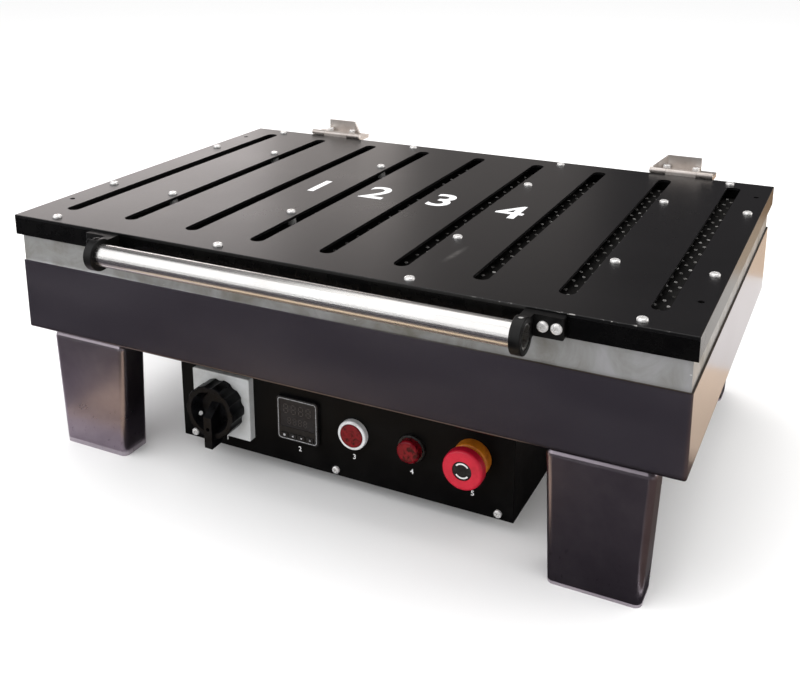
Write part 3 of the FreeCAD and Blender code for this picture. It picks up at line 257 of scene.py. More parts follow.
# Boards of pressed ceramic fibre line the floor and the walls of the case round the hot plate.
# They are cut with a knife, so faces are woolly and the tone turns from cream to a toasted brown.
fibre_board = new_finish("fibre_board", (0.7, 0.66, 0.58), metal=0.0, rough=0.95)
fluff = noise(fibre_board, scale=420.0, detail=5, rough=0.7, stretch=(1, 1, 2.5), twist=2.0)
toast = noise(fibre_board, scale=9.0, detail=4, rough=0.6)
shade = layers(fibre_board, (fluff, 0.4), (toast, 0.6))
coloured(fibre_board, shade, (0.3, (0.42, 0.34, 0.25)), (0.52, (0.66, 0.61, 0.52)), (0.7, (0.78, 0.75, 0.69)))
relief(fibre_board, fluff, strength=0.55, depth=0.0006)
dress(fibre_board, "insulation_boards")


# The hot plate is a slab of aluminium faced on a mill, with cartridge heaters in cross holes.
# Cutter passes leave fine level lines, and heat has given it straw-coloured clouds.
plate_aluminium = new_finish("plate_aluminium", (0.62, 0.62, 0.62), metal=1.0, rough=0.32)
passes = noise(plate_aluminium, scale=1.0, detail=3, rough=0.6, stretch=(6, 1100, 1100))
heat = noise(plate_aluminium, scale=6.0, detail=4, rough=0.6, stretch=(1, 1, 1), twist=0.6)
coloured(
    plate_aluminium,
    heat,
    (0.3, (0.52, 0.47, 0.40)),
    (0.5, (0.62, 0.605, 0.585)),
    (0.7, (0.68, 0.68, 0.69)),
)
roughened(plate_aluminium, passes, 0.24, 0.42)
relief(plate_aluminium, passes, strength=0.12)
dress(plate_aluminium, "heater_plate")


# The cartridge heaters, the probe and the thermostat cap are thin drawn steel.
# Running hot has blued and browned the metal in bands.
heater_steel = new_finish("heater_steel", (0.3, 0.26, 0.23), metal=1.0, rough=0.38)
scale_marks = noise(heater_steel, scale=38.0, detail=4, rough=0.65, stretch=(1, 0.4, 1), twist=1.0)
coloured(
    heater_steel,
    scale_marks,
    (0.3, (0.13, 0.12, 0.16)),
    (0.5, (0.30, 0.25, 0.20)),
    (0.7, (0.48, 0.44, 0.40)),
)
roughened(heater_steel, scale_marks, 0.5, 0.3)
dress(heater_steel, "heating_elements", "thermocouple", "overheat_thermostat")


# Unglazed ceramic stand-offs carry the hot plate clear of the case floor.
# The fired body is matt ivory with a few iron specks.
ceramic = new_finish("ceramic", (0.78, 0.74, 0.66), metal=0.0, rough=0.6)
iron = noise(ceramic, scale=600.0, detail=2, rough=0.5)
coloured(ceramic, iron, (0.27, (0.36, 0.29, 0.2)), (0.36, (0.76, 0.72, 0.64)), (0.8, (0.82, 0.79, 0.72)))
roughened(ceramic, noise(ceramic, scale=60.0), 0.5, 0.7)
dress(ceramic, "plate_standoffs")


# Bright stainless screws, nuts, spacers and pins hold the plate, the panel, the lid and the hinges.
# The heads are turned, so the metal is smooth with tiny scuffs and some grime.
bright_screws = new_finish("bright_screws", (0.88, 0.87, 0.86), metal=0.55, rough=0.26)
scuff = noise(bright_screws, scale=260.0, detail=3, rough=0.55)
coloured(
    bright_screws,
    scuff,
    (0.3, (0.78, 0.77, 0.75)),
    (0.5, (0.88, 0.87, 0.86)),
    (0.75, (0.93, 0.92, 0.91)),
)
roughened(bright_screws, scuff, 0.30, 0.22)
dress(
    bright_screws,
    "plate_screws",
    "panel_screws",
    "lid_screws",
    "baffle_screws",
    "baffle_nuts",
    "baffle_spacers",
    "hinge_screws",
    "hinge_pins",
)


# The control box is a folded steel box hung under the case, closed by a screwed front panel.
# Both are powder coated black with a fine orange-peel skin and a little dust.
def glossed(finish, level):
    """The even strength of a finish's mirror reflection."""
    finish.node_tree.nodes["Principled BSDF"].inputs["Specular IOR Level"].default_value = level


box_black = new_finish("box_black", (0.004, 0.004, 0.0045), metal=0.0, rough=0.5)
glossed(box_black, 0.15)
peel = noise(box_black, scale=1300.0, detail=2, rough=0.5)
dust = noise(box_black, scale=24.0, detail=5, rough=0.65)
coloured(box_black, dust, (0.45, (0.0014, 0.0014, 0.0016)), (0.8, (0.005, 0.0048, 0.0046)))
roughened(box_black, dust, 0.42, 0.6)
relief(box_black, peel, strength=0.10)
dress(box_black, "control_box", "control_panel")


# Plain white numbers are screen printed on the panel under the five controls.
# The ink stands a hair proud of the powder coat and is slightly patchy.
panel_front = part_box("control_panel")[0].y
panel_digit = 0.0052
panel_weight = 0.00008
digit_share_of_font = 0.7
ink_lift = 0.00014
ink_sunk = 0.00002
print_white = new_finish("print_white", (0.7, 0.7, 0.7), metal=0.0, rough=0.6)
patch = noise(print_white, scale=700.0, detail=3)
coloured(print_white, patch, (0.3, (0.42, 0.42, 0.43)), (0.5, (0.72, 0.72, 0.72)))


def baked(maker, name):
    """The evaluated mesh of a maker object, which is then removed."""
    bpy.context.scene.collection.objects.link(maker)
    bpy.context.view_layer.update()
    mesh = bpy.data.meshes.new_from_object(maker.evaluated_get(bpy.context.evaluated_depsgraph_get()))
    maker.modifiers.clear()
    bpy.data.objects.remove(maker)
    mesh.name = name
    return mesh


def written(name, text, height, weight):
    """Numbers as a thin mesh on the XY plane, centred, facing +Z."""
    curve = bpy.data.curves.new(name, "FONT")
    curve.body = text
    curve.align_x = "CENTER"
    curve.align_y = "CENTER"
    curve.size = height / digit_share_of_font
    curve.offset = weight
    curve.extrude = ink_lift / 2
    mesh = baked(bpy.data.objects.new(name + "_maker", curve), name)
    mesh.transform(Matrix.Translation((0, 0, ink_lift / 2 - ink_sunk)))
    return mesh


def piece(name, mesh, place, finish, body):
    """A new piece: its place goes into its mesh, it rides on a body, and it takes a slot's finish."""
    mesh.transform(place)
    mesh.materials.clear()
    mesh.materials.append(finish)
    made = bpy.data.objects.new(name, mesh)
    bpy.context.scene.collection.objects.link(made)
    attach(made, body)


def on_front(x, y, z):
    """A place on an upright face: what faced +Z now faces the front, and +Y is up."""
    return Matrix.Translation((x, y, z)) @ Matrix.Rotation(math.radians(90), 4, "X")


def middle(name):
    """The middle of a node's box across its front, and the level of its front: x, y, z."""
    low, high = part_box(name)
    return (low.x + high.x) / 2, low.y, (low.z + high.z) / 2


number_drops = {
    "switch_plate": 0.0425,
    "controller_housing": 0.0335,
    "heat_button_ring": 0.026,
    "alarm_lamp_ring": 0.0255,
    "stop_collar": 0.0385,
}
for number, (control, drop) in enumerate(number_drops.items(), 1):
    mesh = written("panel_number_%d" % number, str(number), panel_digit, panel_weight)
    x, _, z = middle(control)
    place = on_front(x, panel_front, z - drop)
    piece("panel_number_%d" % number, mesh, place, print_white, "base")


# The main switch has a square plate of light grey moulded plastic behind its knob, clamped to the panel.
# The mould face is lightly textured and has picked up grey grime.
switch_grey = new_finish("switch_grey", (0.4, 0.41, 0.41), metal=0.0, rough=0.45)
grime = noise(switch_grey, scale=45.0, detail=5, rough=0.65)
coloured(switch_grey, grime, (0.3, (0.42, 0.42, 0.41)), (0.5, (0.50, 0.51, 0.51)), (0.7, (0.55, 0.56, 0.57)))
roughened(switch_grey, grime, 0.55, 0.38)
relief(switch_grey, noise(switch_grey, scale=1500.0, detail=2), strength=0.08)
dress(switch_grey, "switch_plate")


# The knob is moulded in black plastic with ten scallops and a lever bar across it.
# Fingers have polished the rim, fine dust lies in the dish, and a white index dot is pressed into its wall.
switch_black = new_finish("switch_black", (0.003, 0.003, 0.0035), metal=0.0, rough=0.3)
glossed(switch_black, 0.12)
dust = noise(switch_black, scale=120.0, detail=4, rough=0.65)
coloured(switch_black, dust, (0.45, (0.002, 0.002, 0.0024)), (0.8, (0.008, 0.008, 0.0095)))
roughened(switch_black, dust, 0.24, 0.42)
relief(switch_black, noise(switch_black, scale=1400.0, detail=2), strength=0.05)
dress(switch_black, "main_switch_knob")


def turned(name, outline, count):
    """A closed round mesh from (radius, height) points that run from the axis below to the axis above."""
    shell = bmesh.new()
    rings = []
    for radius, height in outline:
        angles = [2 * math.pi * step / count for step in range(count if radius else 1)]
        rings.append([shell.verts.new((radius * math.cos(a), radius * math.sin(a), height)) for a in angles])
    for low, high in zip(rings, rings[1:]):
        for step in range(count):
            after = (step + 1) % count
            corners = (
                low[step % len(low)],
                low[after % len(low)],
                high[after % len(high)],
                high[step % len(high)],
            )
            shell.faces.new(tuple(dict.fromkeys(corners)))
    mesh = bpy.data.meshes.new(name)
    shell.to_mesh(mesh)
    shell.free()
    return mesh


def disc(name, radius, height, ease, count):
    """A flat disc with an eased upper edge."""
    outline = ((0, 0), (radius, 0), (radius, height - ease), (radius - ease, height), (0, height))
    return turned(name, outline, count)


dish_stand = 0.009
dot_from_axis = Vector((-0.0172, 0, -0.0079))
dot_above_dish = 0.0037
dot_facing = Vector((0.820, -0.430, 0.377))
plate_front, plate_z = middle("switch_plate")[1:]
knob_axis = Vector((middle("main_switch_knob")[0], plate_front - dish_stand - dot_above_dish, plate_z))
dot_turn = dot_facing.to_track_quat("Z", "Y").to_matrix().to_4x4()
dot_place = Matrix.Translation(knob_axis + dot_from_axis) @ dot_turn
mesh = disc("knob_index", radius=0.0022, height=0.0004, ease=0.0001, count=36)
piece("knob_index", mesh, dot_place, print_white, "switch_knob")


# The temperature controller is a moulded black square that snaps into the panel, with four moulded keys.
# A pale line is printed round its face, and each key has a small printed sign.
controller_black = new_finish("controller_black", (0.008, 0.008, 0.009), metal=0.0, rough=0.42)
dust = noise(controller_black, scale=150.0, detail=4, rough=0.65)
coloured(controller_black, dust, (0.45, (0.005, 0.005, 0.006)), (0.8, (0.018, 0.018, 0.020)))
roughened(controller_black, dust, 0.36, 0.52)
relief(controller_black, noise(controller_black, scale=1700.0, detail=2), strength=0.08)
keys = ["controller_key_%d" % number for number in range(1, 5)]
dress(controller_black, "controller_housing", *keys)

print_grey = new_finish("print_grey", (0.3, 0.3, 0.31), metal=0.0, rough=0.55)
patch = noise(print_grey, scale=500.0, detail=3)
coloured(print_grey, patch, (0.3, (0.16, 0.16, 0.17)), (0.55, (0.34, 0.34, 0.35)))


def recipe(name, *sizes):
    """A Geometry Nodes tree with a named number input for each size, and those inputs' sockets."""
    tree = bpy.data.node_groups.new(name, "GeometryNodeTree")
    tree.interface.new_socket("Geometry", in_out="OUTPUT", socket_type="NodeSocketGeometry")
    for size in sizes:
        kind = "NodeSocketInt" if size.endswith("count") else "NodeSocketFloat"
        tree.interface.new_socket(size, in_out="INPUT", socket_type=kind)
    return tree, add(tree, "NodeGroupInput").outputs


def closed(tree, geometry, finish):
    """Ends a tree: instances are made real and the finish is set."""
    real = add(tree, "GeometryNodeRealizeInstances", {"Geometry": geometry}).outputs[0]
    done = add(tree, "GeometryNodeSetMaterial", {"Geometry": real, "Material": finish}).outputs[0]
    add(tree, "NodeGroupOutput", {"Geometry": done})


def grown(name, tree, sizes):
    """Runs a tree with its sizes and gives the plain mesh."""
    maker = bpy.data.objects.new(name + "_maker", bpy.data.meshes.new(name + "_start"))
    modifier = maker.modifiers.new("recipe", "NODES")
    modifier.node_group = tree
    for socket in tree.interface.items_tree:
        if socket.in_out == "INPUT":
            modifier[socket.identifier] = sizes[socket.name]
    return baked(maker, name)


def swept(tree, path, width, height):
    """A flat printed line along a path in the XY plane."""
    level = add(tree, "GeometryNodeSetCurveNormal", {"Curve": path}, mode="Z_UP").outputs[0]
    line = add(tree, "GeometryNodeCurvePrimitiveQuadrilateral", {"Width": width, "Height": height}).outputs[0]
    inputs = {"Curve": level, "Profile Curve": line, "Fill Caps": True}
    return add(tree, "GeometryNodeCurveToMesh", inputs).outputs[0]


frame_tree, size = recipe("printed_frame", "Side", "Corner", "Line", "Lift")
inputs = {"Width": size["Side"], "Height": size["Side"]}
square = add(frame_tree, "GeometryNodeCurvePrimitiveQuadrilateral", inputs).outputs[0]
inputs = {"Curve": square, "Count": 8, "Radius": size["Corner"]}
eased = add(frame_tree, "GeometryNodeFilletCurve", inputs, mode="POLY").outputs[0]
closed(frame_tree, swept(frame_tree, eased, size["Line"], size["Lift"]), print_grey)
sizes = {"Side": 0.0442, "Corner": 0.003, "Line": 0.0008, "Lift": ink_lift}
mesh = grown("controller_frame", frame_tree, sizes)
piece("controller_frame", mesh, on_front(*middle("controller_housing")), print_grey, "base")

sign_tree, size = recipe("key_sign", "Side count", "Radius", "Lift", "Turn")
inputs = {"Vertices": size["Side count"], "Radius": size["Radius"], "Depth": size["Lift"]}
prism = add(sign_tree, "GeometryNodeMeshCylinder", inputs, fill_type="NGON").outputs[0]
turn = add(sign_tree, "ShaderNodeCombineXYZ", {"Z": size["Turn"]}).outputs[0]
sign = add(sign_tree, "GeometryNodeTransform", {"Geometry": prism, "Rotation": turn}).outputs[0]
closed(sign_tree, sign, print_grey)
round_sides, arrow_sides = 24, 3
signs = ((round_sides, 0.0), (arrow_sides, 180.0), (arrow_sides, -90.0), (arrow_sides, 90.0))
for number, (key, (count, turn)) in enumerate(zip(keys, signs), 1):
    sizes = {"Side count": count, "Radius": 0.0014, "Lift": ink_lift, "Turn": math.radians(turn)}
    mesh = grown("key_sign_%d" % number, sign_tree, sizes)
    piece("key_sign_%d" % number, mesh, on_front(*middle(key)), print_grey, "key_%d" % number)


# The controller's window is smoked plastic over two rows of numerals that are dark while the oven is off.
# The window is glossy with wipe marks, and the unlit bars show faintly through it.
window_smoke = new_finish("window_smoke", (0.012, 0.012, 0.014), metal=0.0, rough=0.12)
glossed(window_smoke, 0.2)
wipe = noise(window_smoke, scale=90.0, detail=4, rough=0.65, stretch=(1, 1, 2))
coloured(window_smoke, wipe, (0.4, (0.009, 0.009, 0.011)), (0.8, (0.022, 0.022, 0.024)))
roughened(window_smoke, wipe, 0.08, 0.3)
dress(window_smoke, "controller_window")

bar_grey = new_finish("bar_grey", (0.03, 0.028, 0.03), metal=0.0, rough=0.3)
coloured(bar_grey, noise(bar_grey, scale=300.0), (0.3, (0.020, 0.019, 0.020)), (0.7, (0.036, 0.033, 0.035)))


def bar(tree, length, width, lift, turn):
    """One bar of a numeral: a six-sided slip with pointed ends."""
    inputs = {"Vertices": 6, "Radius": 0.5, "Depth": lift}
    slip = add(tree, "GeometryNodeMeshCylinder", inputs, fill_type="NGON").outputs[0]
    scale = add(tree, "ShaderNodeCombineXYZ", {"X": length, "Y": width, "Z": 1.0}).outputs[0]
    sized = add(tree, "GeometryNodeTransform", {"Geometry": slip, "Scale": scale}).outputs[0]
    return add(tree, "GeometryNodeTransform", {"Geometry": sized, "Rotation": (0, 0, turn)}).outputs[0]


bar_share = 0.84
row_tree, size = recipe("numeral_row", "Numeral count", "Height", "Width", "Bar", "Pitch", "Lift")
half = sums(row_tree, "MULTIPLY", size["Height"], 0.5)
level_length = sums(row_tree, "MULTIPLY", size["Width"], bar_share)
upright_length = sums(row_tree, "MULTIPLY", half, bar_share)
level_bar = bar(row_tree, level_length, size["Bar"], size["Lift"], 0.0)
upright_bar = bar(row_tree, upright_length, size["Bar"], size["Lift"], math.radians(90))
foot = add(row_tree, "ShaderNodeCombineXYZ", {"Y": sums(row_tree, "MULTIPLY", half, -1.0)}).outputs[0]
rise = add(row_tree, "ShaderNodeCombineXYZ", {"Y": half}).outputs[0]
inputs = {"Count": 3, "Start Location": foot, "Offset": rise}
levels = add(row_tree, "GeometryNodeMeshLine", inputs).outputs[0]
inputs = {"Size X": size["Width"], "Size Y": half, "Vertices X": 2, "Vertices Y": 2}
corners = add(row_tree, "GeometryNodeMeshGrid", inputs).outputs[0]
numeral = add(row_tree, "GeometryNodeJoinGeometry", {"Geometry": [
    add(row_tree, "GeometryNodeInstanceOnPoints", {"Points": levels, "Instance": level_bar}).outputs[0],
    add(row_tree, "GeometryNodeInstanceOnPoints", {"Points": corners, "Instance": upright_bar}).outputs[0],
]}).outputs[0]
reach = sums(row_tree, "MULTIPLY", sums(row_tree, "SUBTRACT", size["Numeral count"], 1.0), size["Pitch"])
begin = add(row_tree, "ShaderNodeCombineXYZ", {"X": sums(row_tree, "MULTIPLY", reach, -0.5)}).outputs[0]
pitch = add(row_tree, "ShaderNodeCombineXYZ", {"X": size["Pitch"]}).outputs[0]
inputs = {"Count": size["Numeral count"], "Start Location": begin, "Offset": pitch}
stations = add(row_tree, "GeometryNodeMeshLine", inputs).outputs[0]
row = add(row_tree, "GeometryNodeInstanceOnPoints", {"Points": stations, "Instance": numeral}).outputs[0]
closed(row_tree, row, bar_grey)
window_x, window_front, window_z = middle("controller_window")
width_share, bar_width_share, pitch_share = 0.5, 0.11, 0.92
for name, height, rise in (("upper_numerals", 0.0095, 0.0058), ("lower_numerals", 0.0068, -0.0072)):
    sizes = {
        "Numeral count": 4,
        "Height": height,
        "Width": width_share * height,
        "Bar": bar_width_share * height,
        "Pitch": pitch_share * height,
        "Lift": ink_lift,
    }
    place = on_front(window_x, window_front, window_z + rise)
    piece(name, grown(name, row_tree, sizes), place, bar_grey, "base")


# The push button has a glossy white bezel and a red cap that lights from behind.
# Ribs moulded inside the cap show through as darker bands.
button_white = new_finish("button_white", (0.64, 0.64, 0.65), metal=0.0, rough=0.25)
grime = noise(button_white, scale=130.0, detail=4, rough=0.65)
coloured(button_white, grime, (0.3, (0.48, 0.47, 0.46)), (0.5, (0.66, 0.66, 0.67)))
roughened(button_white, grime, 0.36, 0.2)
dress(button_white, "heat_button_ring")

lens_red = new_finish("lens_red", (0.2, 0.004, 0.009), metal=0.0, rough=0.14)
ribs = noise(lens_red, scale=170.0, detail=3, rough=0.55, stretch=(1, 1, 1), twist=1.0)
coloured(
    lens_red,
    ribs,
    (0.34, (0.03, 0.001, 0.002)),
    (0.48, (0.12, 0.003, 0.007)),
    (0.72, (0.17, 0.004, 0.009)),
)
roughened(lens_red, ribs, 0.1, 0.2)
glossed(lens_red, 0.25)
dress(lens_red, "heat_button_cap", "alarm_lamp_lens")


# The alarm lamp sits in a thin ring of dark moulded plastic that screws on from the front.
# The ring is glossy, so its edge catches the light.
ring_dark = new_finish("ring_dark", (0.016, 0.014, 0.014), metal=0.0, rough=0.3)
dust = noise(ring_dark, scale=180.0, detail=4, rough=0.65)
coloured(ring_dark, dust, (0.45, (0.009, 0.008, 0.008)), (0.8, (0.035, 0.032, 0.031)))
roughened(ring_dark, dust, 0.22, 0.4)
dress(ring_dark, "alarm_lamp_ring")


# The emergency stop is a red mushroom head on a black plunger, in a yellow-orange collar.
# All three are moulded plastic, with a satin face on head and collar, and a nut holds them in the panel.
stop_orange = new_finish("stop_orange", (0.58, 0.17, 0.01), metal=0.0, rough=0.4)
grime = noise(stop_orange, scale=120.0, detail=4, rough=0.65)
coloured(
    stop_orange,
    grime,
    (0.3, (0.42, 0.11, 0.007)),
    (0.5, (0.60, 0.18, 0.010)),
    (0.75, (0.66, 0.22, 0.015)),
)
roughened(stop_orange, grime, 0.5, 0.34)
dress(stop_orange, "stop_collar")

stop_red = new_finish("stop_red", (0.54, 0.009, 0.03), metal=0.0, rough=0.36)
glossed(stop_red, 0.35)
grime = noise(stop_red, scale=80.0, detail=4, rough=0.65)
coloured(
    stop_red,
    grime,
    (0.3, (0.38, 0.004, 0.018)),
    (0.5, (0.46, 0.0065, 0.026)),
    (0.75, (0.51, 0.010, 0.033)),
)
roughened(stop_red, grime, 0.46, 0.3)
relief(stop_red, noise(stop_red, scale=1600.0, detail=2), strength=0.05)
dress(stop_red, "stop_head")

stop_shaft = new_finish("stop_shaft", (0.02, 0.02, 0.02), metal=0.0, rough=0.5)
wear = noise(stop_shaft, scale=140.0, detail=4, rough=0.65)
coloured(stop_shaft, wear, (0.4, (0.015, 0.015, 0.016)), (0.8, (0.04, 0.04, 0.04)))
roughened(stop_shaft, wear, 0.42, 0.58)
dress(stop_shaft, "stop_plunger")


# A black disc is pressed into the dish of the stop head, with two white arcs printed round its edge.
# The disc is satin plastic with an eased edge, and its middle is left plain.
stop_x, stop_front, stop_z = middle("stop_head")
dish_depth = 0.001
disc_height = 0.0006
disc_black = new_finish("disc_black", (0.012, 0.012, 0.013), metal=0.0, rough=0.4)
glossed(disc_black, 0.2)
dust = noise(disc_black, scale=260.0, detail=4, rough=0.65)
coloured(disc_black, dust, (0.4, (0.007, 0.007, 0.008)), (0.8, (0.028, 0.027, 0.027)))
roughened(disc_black, dust, 0.34, 0.5)

dish_floor = stop_front + dish_depth
mesh = disc("stop_disc", radius=0.0094, height=disc_height, ease=0.00015, count=72)
place = on_front(stop_x, dish_floor + ink_sunk, stop_z)
piece("stop_disc", mesh, place, disc_black, "stop_turn")

arc_tree, size = recipe("printed_arcs", "Arc count", "Radius", "Sweep", "Line", "Lift")
half_sweep = sums(arc_tree, "MULTIPLY", size["Sweep"], -0.5)
start = sums(arc_tree, "ADD", half_sweep, math.radians(90))
inputs = {"Resolution": 24, "Radius": size["Radius"], "Start Angle": start, "Sweep Angle": size["Sweep"]}
arc = add(arc_tree, "GeometryNodeCurveArc", inputs, mode="RADIUS").outputs[0]
line = swept(arc_tree, arc, size["Line"], size["Lift"])
seats = add(arc_tree, "GeometryNodeMeshLine", {"Count": size["Arc count"], "Offset": (0, 0, 0)}).outputs[0]
share = sums(arc_tree, "DIVIDE", 2 * math.pi, size["Arc count"])
turn = sums(arc_tree, "MULTIPLY", add(arc_tree, "GeometryNodeInputIndex").outputs[0], share)
turn = add(arc_tree, "ShaderNodeCombineXYZ", {"Z": turn}).outputs[0]
turn = add(arc_tree, "FunctionNodeEulerToRotation", {"Euler": turn}).outputs[0]
inputs = {"Points": seats, "Instance": line, "Rotation": turn}
arcs = add(arc_tree, "GeometryNodeInstanceOnPoints", inputs).outputs[0]
closed(arc_tree, arcs, print_white)
sizes = {"Arc count": 2, "Radius": 0.0071, "Sweep": math.radians(104), "Line": 0.0015, "Lift": ink_lift}
mesh = grown("stop_arcs", arc_tree, sizes)
place = on_front(stop_x, dish_floor - disc_height, stop_z)
piece("stop_arcs", mesh, place, print_white, "stop_turn")


# Behind the panel sit the switch body, the contact blocks, the lock nuts, the relay and the terminals.
# They are plain moulded parts that a user never sees, in dark and white plastics.
inner_plastic = new_finish("inner_plastic", (0.03, 0.03, 0.032), metal=0.0, rough=0.5)
mottle = noise(inner_plastic, scale=90.0, detail=4, rough=0.6)
coloured(inner_plastic, mottle, (0.3, (0.016, 0.016, 0.018)), (0.7, (0.04, 0.04, 0.043)))
roughened(inner_plastic, mottle, 0.42, 0.6)
dress(inner_plastic, "main_switch_body", "contact_blocks", "lock_nuts", "heater_relay", "cable_gland")

terminal_white = new_finish("terminal_white", (0.68, 0.68, 0.66), metal=0.0, rough=0.45)
mottle = noise(terminal_white, scale=90.0, detail=4, rough=0.6)
coloured(terminal_white, mottle, (0.3, (0.54, 0.53, 0.50)), (0.7, (0.72, 0.72, 0.70)))
roughened(terminal_white, mottle, 0.5, 0.36)
dress(terminal_white, "terminal_block")

sink_aluminium = new_finish("sink_aluminium", (0.6, 0.6, 0.61), metal=1.0, rough=0.4)
drawn = noise(sink_aluminium, scale=1.0, detail=3, rough=0.6, stretch=(900, 5, 900))
roughened(sink_aluminium, drawn, 0.3, 0.5)
relief(sink_aluminium, drawn, strength=0.1)
dress(sink_aluminium, "relay_heat_sink")


# The hinges, their carriers and the lid rests at the rear are cut and folded from satin stainless sheet.
# They are screwed to the case and the lid, and the sheet has a fine grain and soft smears.
hinge_stainless = new_finish("hinge_stainless", (0.62, 0.565, 0.525), metal=0.8, rough=0.3)
grain = noise(hinge_stainless, scale=1.0, detail=4, rough=0.7, stretch=(6, 700, 700))
smear = noise(hinge_stainless, scale=30.0, detail=4, rough=0.6)
coloured(
    hinge_stainless,
    smear,
    (0.3, (0.50, 0.45, 0.41)),
    (0.5, (0.62, 0.565, 0.525)),
    (0.72, (0.74, 0.70, 0.665)),
)
roughened(hinge_stainless, smear, 0.40, 0.24)
relief(hinge_stainless, grain, strength=0.08)
dress(hinge_stainless, "hinge_carriers", "base_hinge_leaves", "lid_hinge_leaves", "lid_rests")


# The lid is a slotted plate of black anodised aluminium screwed on a frame of flat bars.
# The black is satin with a fine blasted skin, wipe marks and dust.
# It has one pale rub, and bare nicks along the front edge.
lid_low, lid_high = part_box("lid_top_plate")
rub_middle = (0.1115, -0.135)
rub_length = 0.028
rub_width = 0.0045
rub_turn = math.radians(5)
lid_black = new_finish("lid_black", (0.005, 0.0046, 0.005), metal=0.0, rough=0.26)
skin = noise(lid_black, scale=1500.0, detail=2, rough=0.5)
wiped = noise(lid_black, scale=5.0, detail=3, rough=0.5, stretch=(1, 1.4, 1), twist=0.6)
fine = noise(lid_black, scale=240.0, detail=3, rough=0.6)
tone = layers(lid_black, (wiped, 0.7), (fine, 0.3))
anodised = tones(
    lid_black,
    tone,
    (0.35, (0.0034, 0.0031, 0.0034)),
    (0.6, (0.005, 0.0046, 0.005)),
    (0.8, (0.008, 0.0074, 0.0074)),
)
from_rub = places(lid_black, stretch=(1, 1, 0), shift=(-rub_middle[0], -rub_middle[1], 0))
from_rub = add(lid_black, "ShaderNodeMapping", {"Vector": from_rub, "Rotation": (0, 0, rub_turn)}).outputs[0]
rub_scale = (1 / rub_width, 1 / rub_length, 0)
from_rub = add(lid_black, "ShaderNodeMapping", {"Vector": from_rub, "Scale": rub_scale}).outputs[0]
reach = add(lid_black, "ShaderNodeVectorMath", {0: from_rub}, operation="LENGTH").outputs["Value"]
rub = spread(lid_black, reach, low=0.35, high=0, start=0.1, end=1.0)
rub = sums(lid_black, "MULTIPLY", rub, spread(lid_black, fine, low=0.3, high=1.0))
anodised = blended(lid_black, rub, anodised, (0.20, 0.19, 0.18))
edge_from, edge_to = 0.0004, 0.0009
front_edge = spread(
    lid_black,
    along(lid_black, "Y"),
    low=1,
    high=0,
    start=lid_low.y + edge_from,
    end=lid_low.y + edge_to,
)
# Painted shade: the plate's front face is made darker than its top.
anodised = blended(lid_black, front_edge, anodised, (0.0006, 0.0006, 0.0007))
top_edge = spread(
    lid_black,
    along(lid_black, "Z"),
    low=0,
    high=1,
    start=lid_high.z - edge_to,
    end=lid_high.z - edge_from,
)
right_end = spread(lid_black, along(lid_black, "X"), low=0.1, high=1, start=0.12, end=0.24)
specks = noise(lid_black, scale=300.0, detail=2, rough=0.5)
chips = spread(lid_black, specks, low=0, high=1, start=0.60, end=0.68)
nicks = sums(lid_black, "MULTIPLY", front_edge, top_edge)
nicks = sums(lid_black, "MULTIPLY", nicks, sums(lid_black, "MULTIPLY", chips, right_end))
feed(lid_black, "Base Color", blended(lid_black, nicks, anodised, (0.32, 0.31, 0.30)))
roughened(lid_black, tone, 0.27, 0.31)
relief(lid_black, skin, strength=0.06)
dress(lid_black, "lid_top_plate")


# The frame under the plate is four flat bars of the same black anodised aluminium, screwed on from above.
# The long bars take a darker, less glossy copy of that black as painted shade, and the smooth side bars
# mirror what lies beside the oven.
dress(lid_black, "lid_side_rails")

# Painted shade: a darker copy of the lid's black for the front and rear bars.
rail_shaded_black = new_finish("rail_shaded_black", (0.0008, 0.0008, 0.0009), metal=0.0, rough=0.26)
glossed(rail_shaded_black, 0.2)
dust = noise(rail_shaded_black, scale=60.0, detail=4, rough=0.6)
coloured(rail_shaded_black, dust, (0.4, (0.0006, 0.0006, 0.0007)), (0.8, (0.002, 0.0019, 0.0018)))
roughened(rail_shaded_black, dust, 0.24, 0.30)
dress(rail_shaded_black, "lid_long_rails")


# The baffle is a perforated steel sheet hung under the plate on spacers to spread the heat.
# It has a coat of matt black heat-proof paint, which hot air has faded in patches.
baffle_black = new_finish("baffle_black", (0.008, 0.0075, 0.007), metal=0.0, rough=0.6)
glossed(baffle_black, 0.2)
fade = noise(baffle_black, scale=40.0, detail=4, rough=0.65)
coloured(baffle_black, fade, (0.3, (0.004, 0.0037, 0.0035)), (0.7, (0.014, 0.013, 0.012)))
roughened(baffle_black, fade, 0.5, 0.7)
dress(baffle_black, "baffle_plate")


# Each hole of the baffle is bushed with a small bright steel eyelet, pressed in from above.
# Under each slot, rows of two and of three holes take turns. No eyelet stands where a spacer is.
eyelet_bright = new_finish("eyelet_bright", (0.3, 0.29, 0.28), metal=0.2, rough=0.35)
tarnish = noise(eyelet_bright, scale=55.0, detail=3, rough=0.6)
coloured(
    eyelet_bright,
    tarnish,
    (0.34, (0.05, 0.047, 0.043)),
    (0.52, (0.30, 0.29, 0.28)),
    (0.66, (0.62, 0.61, 0.59)),
)
roughened(eyelet_bright, tarnish, 0.42, 0.3)

eyelet_sizes = {
    "Slot count": 9,
    "Slot pitch": 0.0775,
    "Two-hole row count": 17,
    "Three-hole row count": 16,
    "Hole pitch": 0.012,
    "First row": lid_low.y + 0.044,
    "Ring radius": 0.0013,
    "Ring thickness": 0.0005,
    "Level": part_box("baffle_plate")[1].z + 0.0003,
    "Inner spacers": 0.095,
    "Outer spacers": 0.250,
    "Spacer reach": 0.104,
    "Spacer middle": lid_low.y + 0.238,
    "Spacer room": 0.0073,
}
eyelet_tree, size = recipe("baffle_eyelets", *eyelet_sizes)


def spot(x=0.0, y=0.0, z=0.0):
    """A vector of the eyelet tree."""
    return add(eyelet_tree, "ShaderNodeCombineXYZ", {"X": x, "Y": y, "Z": z}).outputs[0]


def times(a, b):
    """A product in the eyelet tree."""
    return sums(eyelet_tree, "MULTIPLY", a, b)


